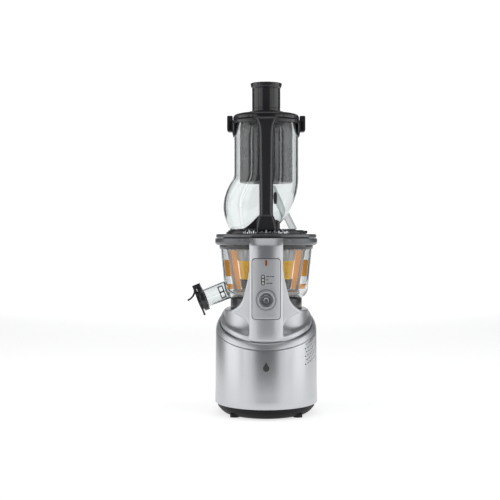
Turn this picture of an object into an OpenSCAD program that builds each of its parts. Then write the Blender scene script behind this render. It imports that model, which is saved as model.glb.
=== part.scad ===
// Vertical slow juicer: motor base with a control tower, clear juicing bowl and wide-chute hopper.
// Frame: origin on the counter, on the bowl's axis. +Z is up and the control tower faces -Y.

/* [Base] */
// Half of the base's width, side to side
base_half_w = 68.6; // [62:0.2:90]
// Half of the base's depth, front to back
base_half_d = 84.6; // [84:0.2:110]
// Height of the seat that the bowl stands on
seat_h = 138; // [130:1:170]
// Height of the rubber feet
foot_h = 4; // [3:0.5:8]
// Top of the black skirt above the counter
skirt_top = 14; // [12:0.5:24]
// Thickness of the tray's floor
tray_floor = 3; // [2:0.5:5]
// Wall of the brushed band
band_wall = 2; // [1.5:0.1:3]
// Slope of the seam that runs round the base, in degrees
seam_slope = 16; // [10:0.5:18]
// Drop from the seat to the seam, on the base's middle line
seam_drop = 25; // [22:0.5:30]
// Height of the bevelled rim above the seam
rim_h = 8; // [6:0.5:10]
// Wall of the upper shell
shell_wall = 2.5; // [2:0.1:4]

/* [Control tower] */
// Half width of the tower at its top
tower_half_w = 21.7; // [20:0.1:26]
// Thickness of the tower, front to back
tower_t = 9.8; // [9:0.1:14]
// Gap between the tower and the bowl's collar
tower_gap = 1.2; // [0.8:0.1:3]
// Half width of the control fascia
fascia_half_w = 18.2; // [16:0.1:20]
// Height of the control fascia
fascia_h = 77.7; // [70:0.1:80]
// Thickness of the control fascia
fascia_t = 1.8; // [1.5:0.1:3]
// Outer radius of the ring round the button
button_ring_r = 12.7; // [11:0.1:14]
// Radius of the button's cap
button_r = 7.3; // [6:0.1:8]
// Travel of the button
button_travel = 1.6; // [1:0.1:2]
// Width of the amber mode lens
lens_w = 2.7; // [2:0.1:4]
// Height of the amber mode lens
lens_h = 7.6; // [6:0.1:9]
// Width of the light window
window_w = 4.8; // [4:0.1:6]
// Height of the light window
window_h = 13.6; // [12:0.1:16]

/* [Drive] */
// Radius of the motor's can
motor_r = 36; // [30:0.5:38]
// Radius of the motor's shaft
motor_shaft_r = 3; // [2.5:0.1:4]
// Module of the first pair of gears
fast_module = 1; // [0.8:0.1:1]
// Teeth on the motor's pinion
pinion_teeth = 12; // [12:2:14]
// Teeth on the large side of the double gear
wheel_teeth = 60; // [48:2:60]
// Module of the second pair of gears
slow_module = 1.5; // [1.2:0.1:1.5]
// Teeth on the small side of the double gear
small_teeth = 15; // [13:2:15]
// Teeth on the output gear
output_teeth = 45; // [39:2:45]
// Width of the gears' faces
gear_face = 7; // [5:0.5:8]
// Radius of the output shaft
drive_r = 6; // [5:0.1:7]
// Distance across the corners of the output shaft's hexagon
drive_hex = 11; // [9:0.1:12]

/* [Bowl] */
// Height of the neck between the seat and the bowl's floor
neck_h = 14.4; // [13:0.1:20]
// Outer radius of the neck
neck_r = 48; // [44:0.5:52]
// Height of the clear bowl
bowl_h = 67.3; // [60:0.1:85]
// Outer radius of the bowl at its top
bowl_top_r = 61.9; // [60:0.1:64]
// Outer radius of the bowl where its wall meets the rounded bottom
bowl_low_r = 57; // [55:0.1:59]
// Outer radius of the bowl's flat bottom
bowl_floor_r = 49; // [47:0.1:52]
// Height of the bowl's rounded bottom
bowl_round_h = 18; // [14:0.5:22]
// Wall of the bowl
bowl_wall = 2.6; // [2:0.1:3.5]
// Outer radius of the bowl's collar
collar_r = 68.8; // [68:0.1:76]
// Height of the bowl's collar
collar_h = 12.8; // [11:0.1:16]
// Outer radius of the juice spout
spout_r = 12.6; // [11:0.1:14]
// Wall of the juice spout
spout_wall = 2.2; // [1.8:0.1:2.6]
// Fall of the juice spout, in degrees
spout_slope = 21.5; // [15:0.5:25]
// Distance from the bowl's axis to the end of the spout
spout_reach = 87.2; // [82:0.2:100]
// Outer radius of the collar at the end of the spout
spout_collar_r = 16; // [15:0.1:18]
// Length of the collar at the end of the spout
spout_collar_l = 6.7; // [5:0.1:8]

/* [Juicing set] */
// Module of the wiper's gears
wiper_module = 1; // [1:0.1:1.1]
// Teeth on the auger's gear
sun_teeth = 24; // [24:2:26]
// Teeth on the idler gear
idler_teeth = 16; // [16:2:18]
// Outer radius of the strainer at its top
strainer_top_r = 40; // [38:0.1:41]
// Outer radius of the strainer at its bottom
strainer_low_r = 33; // [31:0.1:34]
// Wall of the strainer
strainer_wall = 1.6; // [1.2:0.1:2]
// Gap between the auger's flights and the strainer
auger_gap = 1.2; // [0.8:0.1:2]
// Number of wiper arms
wiper_arms = 4; // [2:1:4]

/* [Hopper] */
// Outer radius of the lid's flange
lid_r = 67.7; // [66:0.1:68]
// Height of the lid's flange
lid_h = 4.7; // [4:0.1:7]
// Radius of the hopper's base plate
plate_r = 54; // [52:0.5:60]
// Height of the hopper's base plate
plate_h = 5.4; // [4:0.1:8]
// Outer radius of the feed chute
chute_r = 43.6; // [40:0.1:50]
// Wall of the feed chute
chute_wall = 3; // [2:0.1:4]
// Height of the hopper above its base plate
hopper_h = 147; // [120:1:180]
// Height of the swollen lower part of the hopper
belly_h = 70; // [60:1:80]
// How far the belly swells past the chute, on the left
belly_out = 14.4; // [8:0.1:15]
// Where the belly's right wall meets the base plate, measured to the right of the axis
throat_right = 9.4; // [6:0.1:14]
// Where the belly's left wall meets the base plate, measured to the left of the axis
throat_left = 49.8; // [44:0.1:51]
// Half width of the handle bar
handle_half_w = 10.8; // [9:0.1:13]
// Height of the chute's collar
chute_collar_h = 16; // [12:0.5:20]

/* [Pushers] */
// Radius of the large pusher's body
pusher_r = 35.5; // [32:0.1:38]
// Length of the large pusher's body below its rim
pusher_l = 84; // [60:1:110]
// Height of the large pusher's rim
pusher_rim_h = 6.7; // [5:0.1:9]
// Radius of the small pusher
small_pusher_r = 19.1; // [16:0.1:21]
// How far the small pusher stands above the large one's rim
small_pusher_up = 43; // [30:1:60]

/* [Hidden] */

$fn = 96;
silver = "#b9bcc0";
dark = "#3a3b3e";
black = "#1c1d1f";
amber = "#e8912d";
clear = "#c9d6d8";
steel = "#9a9c9f";
gold = "#d9a23c";

// Clearances
face_gap = 0.3;      // between faces of different moving pieces
run_gap = 0.05;      // radial, on a shaft that turns
slide_gap = 0.4;     // radial, on a piece that slides
pocket_gap = 0.2;    // round a plate in its pocket
tooth_play = 0.3;    // backlash, along the pitch circle
pressure_angle = 20;

// Levels up the machine
tray_top = foot_h + tray_floor;
seam_z = seat_h - seam_drop;
floor_z = seat_h + neck_h;
bowl_top_z = floor_z + bowl_h;
collar_top_z = bowl_top_z + collar_h;
lid_z = collar_top_z + 2 * face_gap;
plate_z = lid_z + lid_h;
hopper_z = plate_z + plate_h;
chute_top_z = hopper_z + hopper_h;
rim_z = chute_top_z + face_gap;
rim_top_z = rim_z + pusher_rim_h;
small_top_z = rim_top_z + small_pusher_up;

// Base
skirt_in = 12;
shell_in = 6;
seat_in = 12;
slab_reach = 300;
outline_steps = 72;
rim_gap_h = 1;
shell_rise = rim_h + rim_gap_h;
flange_h = 7;
case_post_x = 40;
case_post_y = [-20, 32];
case_ear = 3;
case_post_r = 5;
screw_r = 1.6;
screw_head_r = 3;
screw_head_h = 2;

// Drive train, from the top down
cover_t = 3;
case_wall = 2.5;
cover_z = seat_h - 24;
slow_z = cover_z - gear_face - 1;
fast_z = slow_z - gear_face - 1;
case_z = fast_z - 1 - cover_t;
motor_top = case_z;
motor_z = tray_top + 12;
pinion_r = fast_module * pinion_teeth / 2;
wheel_r = fast_module * wheel_teeth / 2;
output_r = slow_module * output_teeth / 2;
small_r = slow_module * small_teeth / 2;
pin_y = output_r + small_r;
motor_y = pin_y - pinion_r - wheel_r;
pin_r = 4;
case_back_y = pin_y;
bush_r = 10;
bush_h = 10;
drive_up = 34;

// Tower
tower_y = -(collar_r + tower_gap);
tower_front = tower_y - tower_t;
fascia_z = seat_h - 9.3;
fascia_top = fascia_z + fascia_h;
fascia_y = tower_front - 0.4;
fascia_back = fascia_y + fascia_t;
fascia_corner = 5;
button_z = fascia_z + 24.9;
spring_gap = 0.1;
mesh_t = 0.8;
badge_z = 67;
vent_r = 1.4;
inlet_z = 34;
inlet_r = 8;
inlet_bore_r = 3.6;
window_z = fascia_z + 50.3;
lens_z = fascia_z + 72.1;
window_x = -4.1;
light_r = 1.5;
light_pitch = 4.2;
board_t = 1.2;
board_y = tower_y - 1.5 - board_t;
power_half_w = 20;
tray_in = skirt_in + shell_wall;
power_y = 0.5 - (base_half_d - tray_in) * sqrt(1 - pow(power_half_w / (base_half_w - tray_in), 2));
spring_r = 3;
spring_wire = 0.6;

// Bowl
spout_end = [-spout_reach, 0, floor_z - 3.05];
spout_l = (spout_reach - bowl_floor_r + 6) / cos(spout_slope);
brim_ledge = 1.3;
brim_t = 2;
shaft_hole_r = 11;
auger_shaft_r = 8;
gear_z = floor_z + bowl_wall + 1;
ring_teeth = sun_teeth + 2 * idler_teeth;
sun_r = wiper_module * sun_teeth / 2;
idler_r = wiper_module * idler_teeth / 2;
ring_r = wiper_module * ring_teeth / 2;
idler_y = -(sun_r + idler_r);
idler_pin_r = 2.5;
duct_y = sun_r + idler_r;
duct_r = 5.4;
duct_wall = 1.2;
pulp_end_y = base_half_d + 8;
pulp_half_w = 9;
pulp_rise = 1.4;
pulp_h = neck_h - pulp_rise;
pulp_wall = 1.8;
pulp_z = seat_h + pulp_rise;
gate_t = 2.4;
gate_pin_r = 1.5;
gate_pin_z = floor_z + 2.4;
gate_pin_y = pulp_end_y - 3.5;
gate_y = pulp_end_y + face_gap;

// Juicing set
wiper_face = 6;
ring_out_r = ring_r + 4;
wiper_out_r = bowl_floor_r - bowl_wall - 1.4;
strainer_z = gear_z + wiper_face + 1.4;
strainer_top_z = bowl_top_z;
strainer_band_h = 17;
strainer_foot_h = 4;
strainer_floor = 2;
rib_count = 8;
slot_count = 24;
slot_w = 0.8;
arm_low_r = strainer_low_r + 5.4;
arm_top_r = strainer_top_r + 8.4;
arm_t = 4;
arm_w = 6;
arm_top_z = bowl_top_z - 3.5;
blade_t = 1.6;
blade_gap = 0.5;
blade_cuts = [0.02, 0.16, 0.35, 0.76, 1];
auger_z = strainer_z + strainer_floor + 1;
auger_top_z = bowl_top_z + brim_t + 1.5;
auger_core_low_r = 15;
auger_core_top_r = 9;
flight_t = 4.5;
flight_turns = 1.4;

// Tap, in the spout's own frame: z runs back along the spout and -x is up
tap_gap = 1.2;
tap_t = 3;
tap_half_w = 4;
tap_r = spout_collar_r - 2.6;
tap_hub_r = 2.8;
tap_pin_r = 1.6;
tap_pin_x = -(spout_collar_r + 2.9);
tap_pin_z = -1.5;
tap_tail_r = 16;
lug_t = 2.6;

// Hopper
throat_x = (throat_right - throat_left) / 2;
throat_r = (throat_right + throat_left) / 2;
belly_steps = 14;
shell_points = 48;
feed_r = 14.5;
boss_r = 4.9;
top_pin_r = 3;
spigot_r = bowl_top_r - bowl_wall + brim_ledge - slide_gap;
spigot_wall = 2;
spigot_h = 4;
gasket_r = 66;
gasket_w = 2;
collar_t = 2.6;
ear_x = chute_r + collar_t;
ear_w = 6.4;
ear_wall = 2;
ear_h = 22;
ear_half_d = 9;
ear_top_z = rim_top_z - 0.7;
handle_gap = 6.4;
handle_back = -(chute_r + handle_gap);
handle_d = 8;
handle_face = 7.3;
foot_rise = 18;
foot_half_w = 13;
foot_back = -36;
foot_screw_y = -42;
brace_w = 11.6;
brace_t = 3;
tab_out = 1.2;

// Pushers
pusher_wall = 2;
small_wall = 2;
small_depth = pusher_l - 6;
cap_h = 7;
cap_flare = 2.3;
rim_r = chute_r + 0.8;
rim_ring_h = 2.6;
rim_ring_w = 5;

function oval(a, b, n = outline_steps) = [for (i = [0 : n - 1]) [a * cos(360 * i / n), b * sin(360 * i / n)]];

// Outline of the base, drawn in from its widest line
module base_outline(inset) {
    polygon(oval(base_half_w - inset, base_half_d - inset));
}

module base_slice(inset, z0, z1) {
    translate([0, 0, z0]) linear_extrude(z1 - z0) base_outline(inset);
}

// Slab parallel to the sloping seam, between two heights above it
module seam_slab(rise0, rise1 = slab_reach) {
    translate([0, 0, seam_z + rise0]) rotate([seam_slope, 0, 0])
        translate([-slab_reach / 2, -slab_reach / 2, 0])
            cube([slab_reach, slab_reach, (rise1 - rise0) * cos(seam_slope)]);
}

module ring(r_out, r_in, z0, z1) {
    translate([0, 0, z0]) difference() {
        cylinder(r = r_out, h = z1 - z0);
        translate([0, 0, -1]) cylinder(r = r_in, h = z1 - z0 + 2);
    }
}

// A round piece lying along Y, from y0 to y1
module along_y(r, y0, y1) {
    translate([0, y1, 0]) rotate([90, 0, 0]) cylinder(r = r, h = y1 - y0);
}

// Plate with rounded corners, standing across Y
module standing_plate(half_w, z0, z1, corner, y0, y1) {
    for (x = [-1, 1])
        for (z = [z0 + corner, z1 - corner])
            translate([x * (half_w - corner), 0, z]) along_y(corner, y0, y1);
    translate([-half_w, y0, z0 + corner]) cube([2 * half_w, y1 - y0, z1 - z0 - 2 * corner]);
    translate([corner - half_w, y0, z0]) cube([2 * (half_w - corner), y1 - y0, z1 - z0]);
}

// Involute gear outline
function involute_deg(a) = tan(a) * 180 / PI - a;
function flank_deg(m, z, r, play) =
    90 / z - play * 180 / (PI * m * z) + involute_deg(pressure_angle)
    - involute_deg(acos(min(1, m * z / 2 * cos(pressure_angle) / r)));
function polar(r, a) = [r * cos(a), r * sin(a)];
function gear_points(m, z, play, low, high) =
    [for (i = [0 : z - 1]) each
        let (a = 360 * i / z, r0 = m * z / 2 - low * m, r1 = m * z / 2, r2 = m * z / 2 + high * m) [
            polar(r0, a - flank_deg(m, z, r0, play)),
            polar(r1, a - flank_deg(m, z, r1, play)),
            polar(r2, a - flank_deg(m, z, r2, play)),
            polar(r2, a + flank_deg(m, z, r2, play)),
            polar(r1, a + flank_deg(m, z, r1, play)),
            polar(r0, a + flank_deg(m, z, r0, play))
        ]];

module gear(m, z, h, turn) {
    rotate(turn) linear_extrude(h) polygon(gear_points(m, z, tooth_play, 1.25, 0.85));
}

module internal_teeth(m, z, h, turn) {
    rotate(turn) linear_extrude(h) polygon(gear_points(m, z, -tooth_play, 0.8, 1.25));
}

// ---------- Base ----------

module rubber_feet() {
    color(black) for (x = [-1, 1])
        for (y = [-1, 1])
            translate([x * (base_half_w - 27.6), y * (base_half_d - 34.6), 0])
                cylinder(r = 6, h = foot_h);
}

module foot_ring() {
    color(black) ring(34, 28, 0, foot_h);
}

module case_posts(r, z0, z1) {
    for (x = [-1, 1])
        for (y = case_post_y)
            translate([x * case_post_x, y, z0]) cylinder(r = r, h = z1 - z0);
}

module base_tray() {
    step_h = (skirt_top - foot_h) / 2;
    color(black) difference() {
        union() {
            difference() {
                union() {
                    base_slice(skirt_in, foot_h, foot_h + step_h);
                    base_slice(skirt_in / 3, foot_h + step_h, skirt_top);
                }
                base_slice(skirt_in + shell_wall, tray_top, skirt_top + 1);
            }
            case_posts(case_post_r, tray_top - 1, case_z);
        }
        case_posts(screw_r, foot_h - 1, case_z + 1);
        for (i = [-3 : 3])
            translate([i * 6 - 1.5, -16, foot_h - 1]) cube([3, 32, tray_floor + 2]);
    }
}

module tray_screws() {
    color(steel) {
        case_posts(screw_r - run_gap, foot_h, foot_h + 16);
    }
}

module vent_holes(r) {
    rows = 5;
    for (row = [0 : rows - 1])
        for (i = [0 : 2])
            let (z = seam_z - 48 + row * 7, a = -38 + i * 7 + (row % 2) * 3.5)
                translate([0, 0, z]) rotate(a) rotate([0, 90, 0])
                    translate([0, 0, base_half_w - 14]) cylinder(r = r, h = 40);
}

module brushed_band() {
    color(silver) difference() {
        base_slice(0, skirt_top, seat_h);
        base_slice(band_wall, skirt_top - 1, seat_h + 1);
        seam_slab(0);
        vent_holes(vent_r);
        translate([0, 0, inlet_z]) along_y(inlet_r, base_half_d - 12, base_half_d + 5);
    }
}

module bevel_rim() {
    color(silver) intersection() {
        difference() {
            base_slice(shell_in / 4, seam_z - 40, seat_h);
            base_slice(shell_in + shell_wall, seam_z - 41, seat_h + 1);
        }
        seam_slab(0, rim_h);
    }
}

// Outline of the tower, seen from the front: straight at the top and flared into the seat
flare = [[14.3, 8], [9.8, 14], [6.3, 26], [2.3, 43], [0, 70]];
module tower_outline() {
    polygon(concat(
        [[-tower_half_w, collar_top_z], [tower_half_w, collar_top_z]],
        [for (i = [len(flare) - 1 : -1 : 0]) [tower_half_w + flare[i][0], seat_h + flare[i][1]]],
        [[tower_half_w + flare[0][0], seat_h - 3], [tower_half_w, seat_h - 12], [tower_half_w, seam_z - 30]],
        [[-tower_half_w, seam_z - 30], [-tower_half_w, seat_h - 12]],
        [[-tower_half_w - flare[0][0], seat_h - 3]],
        [for (p = flare) [-tower_half_w - p[0], seat_h + p[1]]]
    ));
}

module tower_block(y0, y1) {
    translate([0, y1, 0]) rotate([90, 0, 0]) linear_extrude(y1 - y0) tower_outline();
}

// Room that the neck and the bowl need as they lift out
module bowl_room(gap) {
    rotate_extrude() polygon([
        [0, seat_h], [neck_r + gap, seat_h], [neck_r + gap, floor_z - gap],
        [bowl_low_r + gap, floor_z - gap], [bowl_low_r + gap, floor_z + bowl_round_h - gap],
        [collar_r + tower_gap, floor_z + bowl_round_h + 10], [collar_r + tower_gap, collar_top_z + 1],
        [0, collar_top_z + 1]
    ]);
}

module upper_shell() {
    color(silver) difference() {
        union() {
            intersection() {
                union() {
                    base_slice(seat_in, seam_z - 40, seat_h);
                    intersection() {
                        base_slice(shell_in, seam_z - 40, seat_h);
                        seam_slab(shell_rise - 1, shell_rise + flange_h);
                    }
                    intersection() {
                        tower_block(tower_front, tower_y + 18);
                        base_slice(shell_in / 2, seam_z - 40, floor_z + bowl_round_h);
                    }
                    tower_block(tower_front, tower_y);
                }
                seam_slab(shell_rise);
            }
            intersection() {
                base_slice(shell_in + shell_wall + pocket_gap, seat_h - shell_wall, seat_h);
                translate([-base_half_w, 44, 0]) cube([2 * base_half_w, base_half_d, seat_h]);
            }
        }
        base_slice(seat_in + shell_wall, seam_z - 50, seat_h - shell_wall);
        bowl_room(2);
        translate([0, 0, cover_z]) cylinder(r = bush_r + pocket_gap, h = seat_h);
        standing_plate(fascia_half_w + pocket_gap, fascia_z - pocket_gap, fascia_top + pocket_gap,
            fascia_corner, tower_front - 1, fascia_back);
        translate([3 - fascia_half_w, fascia_back - 1, fascia_z + 3])
            cube([2 * fascia_half_w - 6, tower_y - 1.5 - fascia_back + 1, fascia_h - 6]);
    }
}

// ---------- Controls ----------

module control_fascia() {
    color(silver) difference() {
        standing_plate(fascia_half_w, fascia_z, fascia_top, fascia_corner, fascia_y, fascia_back);
        translate([0, 0, button_z]) along_y(button_ring_r - 1.5, fascia_y - 1, fascia_back + 1);
        standing_plate_at(0, lens_z, lens_w / 2 + pocket_gap, lens_h + 2 * pocket_gap, lens_w / 2);
        standing_plate_at(window_x, window_z, window_w / 2 + pocket_gap, window_h + 2 * pocket_gap,
            window_w / 2);
    }
}

// Upright rounded slot through the fascia, centred on (x, z)
module standing_plate_at(x, z, half_w, h, corner) {
    translate([x, 0, 0]) standing_plate(half_w, z - h / 2, z + h / 2, corner, fascia_y - 1, fascia_back + 1);
}

module mode_lens() {
    color(amber) standing_plate(lens_w / 2, lens_z - lens_h / 2, lens_z + lens_h / 2, lens_w / 2 - 0.05,
        fascia_y - 0.2, fascia_back);
}

module light_places() {
    for (i = [-1 : 1])
        translate([window_x, 0, window_z + i * light_pitch]) children();
}

module light_window() {
    color(dark) difference() {
        translate([window_x, 0, 0])
            standing_plate(window_w / 2, window_z - window_h / 2, window_z + window_h / 2,
                window_w / 2 - 0.05, fascia_y - 0.1, fascia_back);
        light_places() along_y(light_r, fascia_y - 1, fascia_back + 1);
    }
}

module light_guides() {
    color("white") light_places() along_y(light_r - run_gap, fascia_y, board_y);
}

module button_bezel() {
    color(silver) translate([0, 0, button_z]) difference() {
        union() {
            along_y(button_ring_r, fascia_y - 1.4, fascia_y);
            along_y(button_ring_r - 1.5 - run_gap, fascia_y, fascia_back + 1);
        }
        along_y(button_r + slide_gap, fascia_y - 2, fascia_back + 2);
    }
}

module start_button() {
    color(steel) translate([0, 0, button_z]) {
        along_y(button_r, fascia_y - 1.6, fascia_back + 1.2);
        along_y(1.2, fascia_back + 1, board_y - button_travel - face_gap);
    }
}

module button_spring() {
    color(steel) translate([0, fascia_back + 1.2 + spring_gap, button_z]) rotate([-90, 0, 0])
        linear_extrude(board_y - fascia_back - 1.2 - 2 * spring_gap, twist = -360 * 3, slices = 30, $fn = 12)
            translate([spring_r, 0]) circle(spring_wire, $fn = 6);
}

module control_board() {
    color("#2f6b3c") difference() {
        translate([4 - fascia_half_w, board_y, fascia_z + 4])
            cube([2 * fascia_half_w - 8, board_t, fascia_h - 8]);
        translate([fascia_half_w - 7, 0, fascia_z + 7]) along_y(1, board_y - 1, board_y + board_t + 1);
    }
}

module power_board() {
    color("#2f6b3c") translate([-power_half_w, power_y, tray_top + 6]) {
        cube([2 * power_half_w, board_t, 46]);
        translate([4, board_t, 6]) cube([12, 10, 14]);
        translate([24, board_t, 22]) cube([10, 8, 16]);
    }
}

module band_badge() {
    color(steel) translate([0, 0, 0]) intersection() {
        difference() {
            base_slice(-0.5, badge_z - 8, badge_z + 8);
            base_slice(0, badge_z - 9, badge_z + 9);
        }
        translate([0, 0, badge_z]) {
            along_y(4, -base_half_d - 5, -base_half_d + 5);
            translate([0, -base_half_d + 5, 1.5]) rotate([90, 0, 0]) linear_extrude(10)
                polygon([[-3.7, 0], [3.7, 0], [0, 6]]);
        }
    }
}

module cord_inlet() {
    color(black) translate([0, 0, inlet_z]) difference() {
        union() {
            along_y(inlet_r - run_gap, base_half_d - 8, base_half_d + 1);
            along_y(inlet_r + 2, base_half_d + 0.2, base_half_d + 3);
        }
        along_y(inlet_bore_r, base_half_d - 9, base_half_d + 4);
    }
}

// ---------- Motor and gears ----------

module motor_can() {
    color(steel) translate([0, motor_y, 0]) difference() {
        union() {
            ring(motor_r, motor_r - 2, motor_z, motor_top);
            ring(motor_r - 1, motor_r - 10, motor_z + 14, motor_top - 14);
            ring(motor_r - 1, 6 + run_gap, motor_z, motor_z + 2);
            ring(motor_r - 1, motor_shaft_r + run_gap, motor_top - 2, motor_top);
        }
        for (i = [0 : 5])
            rotate(60 * i) translate([18, 0, motor_z - 1]) cylinder(r = 4, h = 4);
    }
}

module motor_rotor() {
    color(steel) translate([0, motor_y, 0]) {
        ring(motor_r - 11, motor_shaft_r - 0.01, motor_z + 15, motor_top - 15);
        translate([0, 0, motor_z - 6]) cylinder(r = motor_shaft_r, h = fast_z + gear_face - motor_z + 6);
        translate([0, 0, fast_z]) gear(fast_module, pinion_teeth, gear_face, 90);
    }
}

module cooling_fan() {
    fan_r = motor_r - 4;
    color(dark) translate([0, motor_y, motor_z - 6]) difference() {
        union() {
            cylinder(r = 8, h = 4);
            cylinder(r = fan_r, h = 1);
            for (i = [0 : 8])
                rotate(40 * i) translate([6, -0.7, 0.5]) cube([fan_r - 8, 1.4, 3]);
        }
        translate([0, 0, -1]) cylinder(r = motor_shaft_r, h = 6);
    }
}

// Plan of the gear case, drawn in from its outline
module case_plan(inset) {
    circle(r = output_r + 8 - inset);
    translate([0, case_back_y]) circle(r = wheel_r + 6 - inset);
    for (x = [-1, 1])
        for (y = case_post_y)
            translate([x * case_post_x, y]) circle(r = case_post_r + case_ear);
}

module case_room(z0, z1) {
    translate([0, 0, z0]) linear_extrude(z1 - z0) {
        circle(r = output_r + 8 - case_wall);
        translate([0, case_back_y]) circle(r = wheel_r + 6 - case_wall);
    }
}

module gear_case() {
    color(steel) difference() {
        translate([0, 0, case_z]) linear_extrude(cover_z - case_z) case_plan(0);
        case_room(case_z + cover_t, cover_z + 1);
        translate([0, motor_y, case_z - 1]) cylinder(r = pinion_r + 3, h = cover_t + 2);
        translate([0, pin_y, case_z - 1]) cylinder(r = pin_r, h = cover_t + 2);
        case_posts(screw_r, case_z - 1, cover_z + 1);
    }
}

module gear_cover() {
    color(steel) difference() {
        translate([0, 0, cover_z]) linear_extrude(cover_t) case_plan(0);
        translate([0, 0, cover_z - 1]) cylinder(r = bush_r - 2, h = cover_t + 2);
        translate([0, pin_y, cover_z - 1]) cylinder(r = pin_r, h = cover_t + 2);
        case_posts(screw_r, cover_z - 1, cover_z + cover_t + 1);
    }
}

module gear_screws() {
    color(steel) {
        case_posts(screw_r - run_gap, case_z - 16, cover_z + cover_t);
        case_posts(screw_head_r, cover_z + cover_t, cover_z + cover_t + screw_head_h);
    }
}

module double_gear() {
    color("#d8d2c0") translate([0, pin_y, 0]) difference() {
        union() {
            translate([0, 0, fast_z]) gear(fast_module, wheel_teeth, gear_face, 90 + 180 - 180 / wheel_teeth);
            translate([0, 0, fast_z + gear_face])
                cylinder(r = small_r - 2.5, h = slow_z - fast_z - gear_face);
            translate([0, 0, slow_z]) gear(slow_module, small_teeth, gear_face, 90 + 180 - 180 / small_teeth);
        }
        translate([0, 0, fast_z - 1]) cylinder(r = pin_r + run_gap, h = cover_z - fast_z + 2);
    }
}

module gear_pin() {
    color(steel) translate([0, pin_y, case_z]) cylinder(r = pin_r - 0.01, h = cover_z + cover_t - case_z);
}

module output_gear() {
    color("#d8d2c0") difference() {
        translate([0, 0, slow_z]) gear(slow_module, output_teeth, gear_face, 90);
        translate([0, 0, slow_z - 1]) cylinder(r = drive_r, h = gear_face + 2);
    }
}

module drive_shaft() {
    color(steel) {
        translate([0, 0, slow_z]) cylinder(r = drive_r - 0.01, h = seat_h + 2 - slow_z);
        translate([0, 0, seat_h + 1]) cylinder(d = drive_hex, h = drive_up, $fn = 6);
    }
}

module shaft_bush() {
    color("#b58a4a") difference() {
        union() {
            translate([0, 0, cover_z]) cylinder(r = bush_r - 2 - 0.01, h = cover_t);
            translate([0, 0, cover_z + cover_t]) cylinder(r = bush_r, h = bush_h);
        }
        translate([0, 0, cover_z - 1]) cylinder(r = drive_r + run_gap, h = bush_h + cover_t + 2);
    }
}

module shaft_seal() {
    color(black) ring(bush_r, drive_r + run_gap, seat_h - shell_wall - 4, seat_h + 0.4);
}

// ---------- Bowl ----------

// Bowl's wall line, drawn in by a wall, from the floor to the top
function bowl_line(wall) = concat(
    [for (a = [0 : 15 : 90]) [
        bowl_floor_r - wall + (bowl_low_r - bowl_floor_r) * sin(a),
        floor_z + wall + (bowl_round_h - wall) * (1 - cos(a))
    ]],
    [[bowl_top_r - wall, bowl_top_z]]
);

// Inner radius of the bowl at a height
function bowl_in_r(z) = z > floor_z + bowl_round_h
    ? bowl_low_r - bowl_wall
        + (bowl_top_r - bowl_low_r) * (z - floor_z - bowl_round_h) / (bowl_h - bowl_round_h)
    : bowl_floor_r - bowl_wall + (bowl_low_r - bowl_floor_r)
        * sin(acos(1 - (z - floor_z - bowl_wall) / (bowl_round_h - bowl_wall)));

// Outer radius of the strainer at a height
function strainer_r(z) =
    strainer_low_r + (strainer_top_r - strainer_low_r) * (z - strainer_z) / (strainer_top_z - strainer_z);

module at_spout() {
    translate(spout_end) rotate([0, 90 - spout_slope, 0]) children();
}

module bowl() {
    color(clear) {
        difference() {
            union() {
                rotate_extrude() polygon(concat([[0, floor_z]], bowl_line(0),
                    [[bowl_top_r, collar_top_z - 3], [0, collar_top_z - 3]]));
                at_spout() cylinder(r = spout_r, h = spout_l);
            }
            rotate_extrude() polygon(concat([[0, floor_z + bowl_wall]], bowl_line(bowl_wall),
                [[bowl_top_r - bowl_wall + brim_ledge, bowl_top_z],
                [bowl_top_r - bowl_wall + brim_ledge, collar_top_z], [0, collar_top_z]]));
            at_spout() translate([0, 0, -1]) cylinder(r = spout_r - spout_wall, h = spout_l + 1);
            translate([0, 0, floor_z - 1]) cylinder(r = shaft_hole_r, h = bowl_wall + 2);
            translate([0, duct_y, floor_z - 1]) cylinder(r = duct_r - duct_wall, h = bowl_wall + 2);
            translate([0, idler_y, floor_z - 1]) cylinder(r = idler_pin_r, h = bowl_wall + 2);
        }
        translate([0, duct_y, 0])
            ring(duct_r, duct_r - duct_wall, floor_z + bowl_wall, strainer_z - face_gap);
    }
}

module bowl_neck() {
    mouth_h = pulp_h - 2 * pulp_wall;
    color(dark) difference() {
        union() {
            ring(neck_r, neck_r - pulp_wall, seat_h, floor_z);
            ring(shaft_hole_r + pulp_wall, shaft_hole_r, seat_h + 4, floor_z);
            translate([-pulp_half_w, shaft_hole_r + 0.5, pulp_z])
                cube([2 * pulp_half_w, pulp_end_y - shaft_hole_r - 0.5, floor_z - pulp_z]);
            for (x = [-1, 1])
                translate([x * (pulp_half_w - 1.5) - 1.5, gate_pin_y - 3, floor_z - 1]) cube([3, 5, 5.6]);
        }
        translate([pulp_wall - pulp_half_w, duct_y - duct_r + pulp_wall, pulp_z + pulp_wall])
            cube([2 * (pulp_half_w - pulp_wall), pulp_end_y, mouth_h]);
        translate([0, duct_y, pulp_z + 2 * pulp_wall]) cylinder(r = duct_r - duct_wall, h = neck_h);
        translate([0, gate_pin_y, gate_pin_z]) rotate([0, 90, 0])
            cylinder(r = gate_pin_r + run_gap, h = 40, center = true);
    }
}

module bowl_collar() {
    color(steel) rotate_extrude() polygon([
        [bowl_top_r, bowl_top_z], [collar_r - 3.4, bowl_top_z], [collar_r - 2, bowl_top_z + 3.3],
        [collar_r, bowl_top_z + 5.4], [collar_r, collar_top_z - 1], [collar_r - 1, collar_top_z],
        [bowl_top_r, collar_top_z]
    ]);
}

module bowl_seal() {
    color(black) ring(shaft_hole_r, auger_shaft_r + run_gap, floor_z - 1, floor_z + bowl_wall);
}

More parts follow.
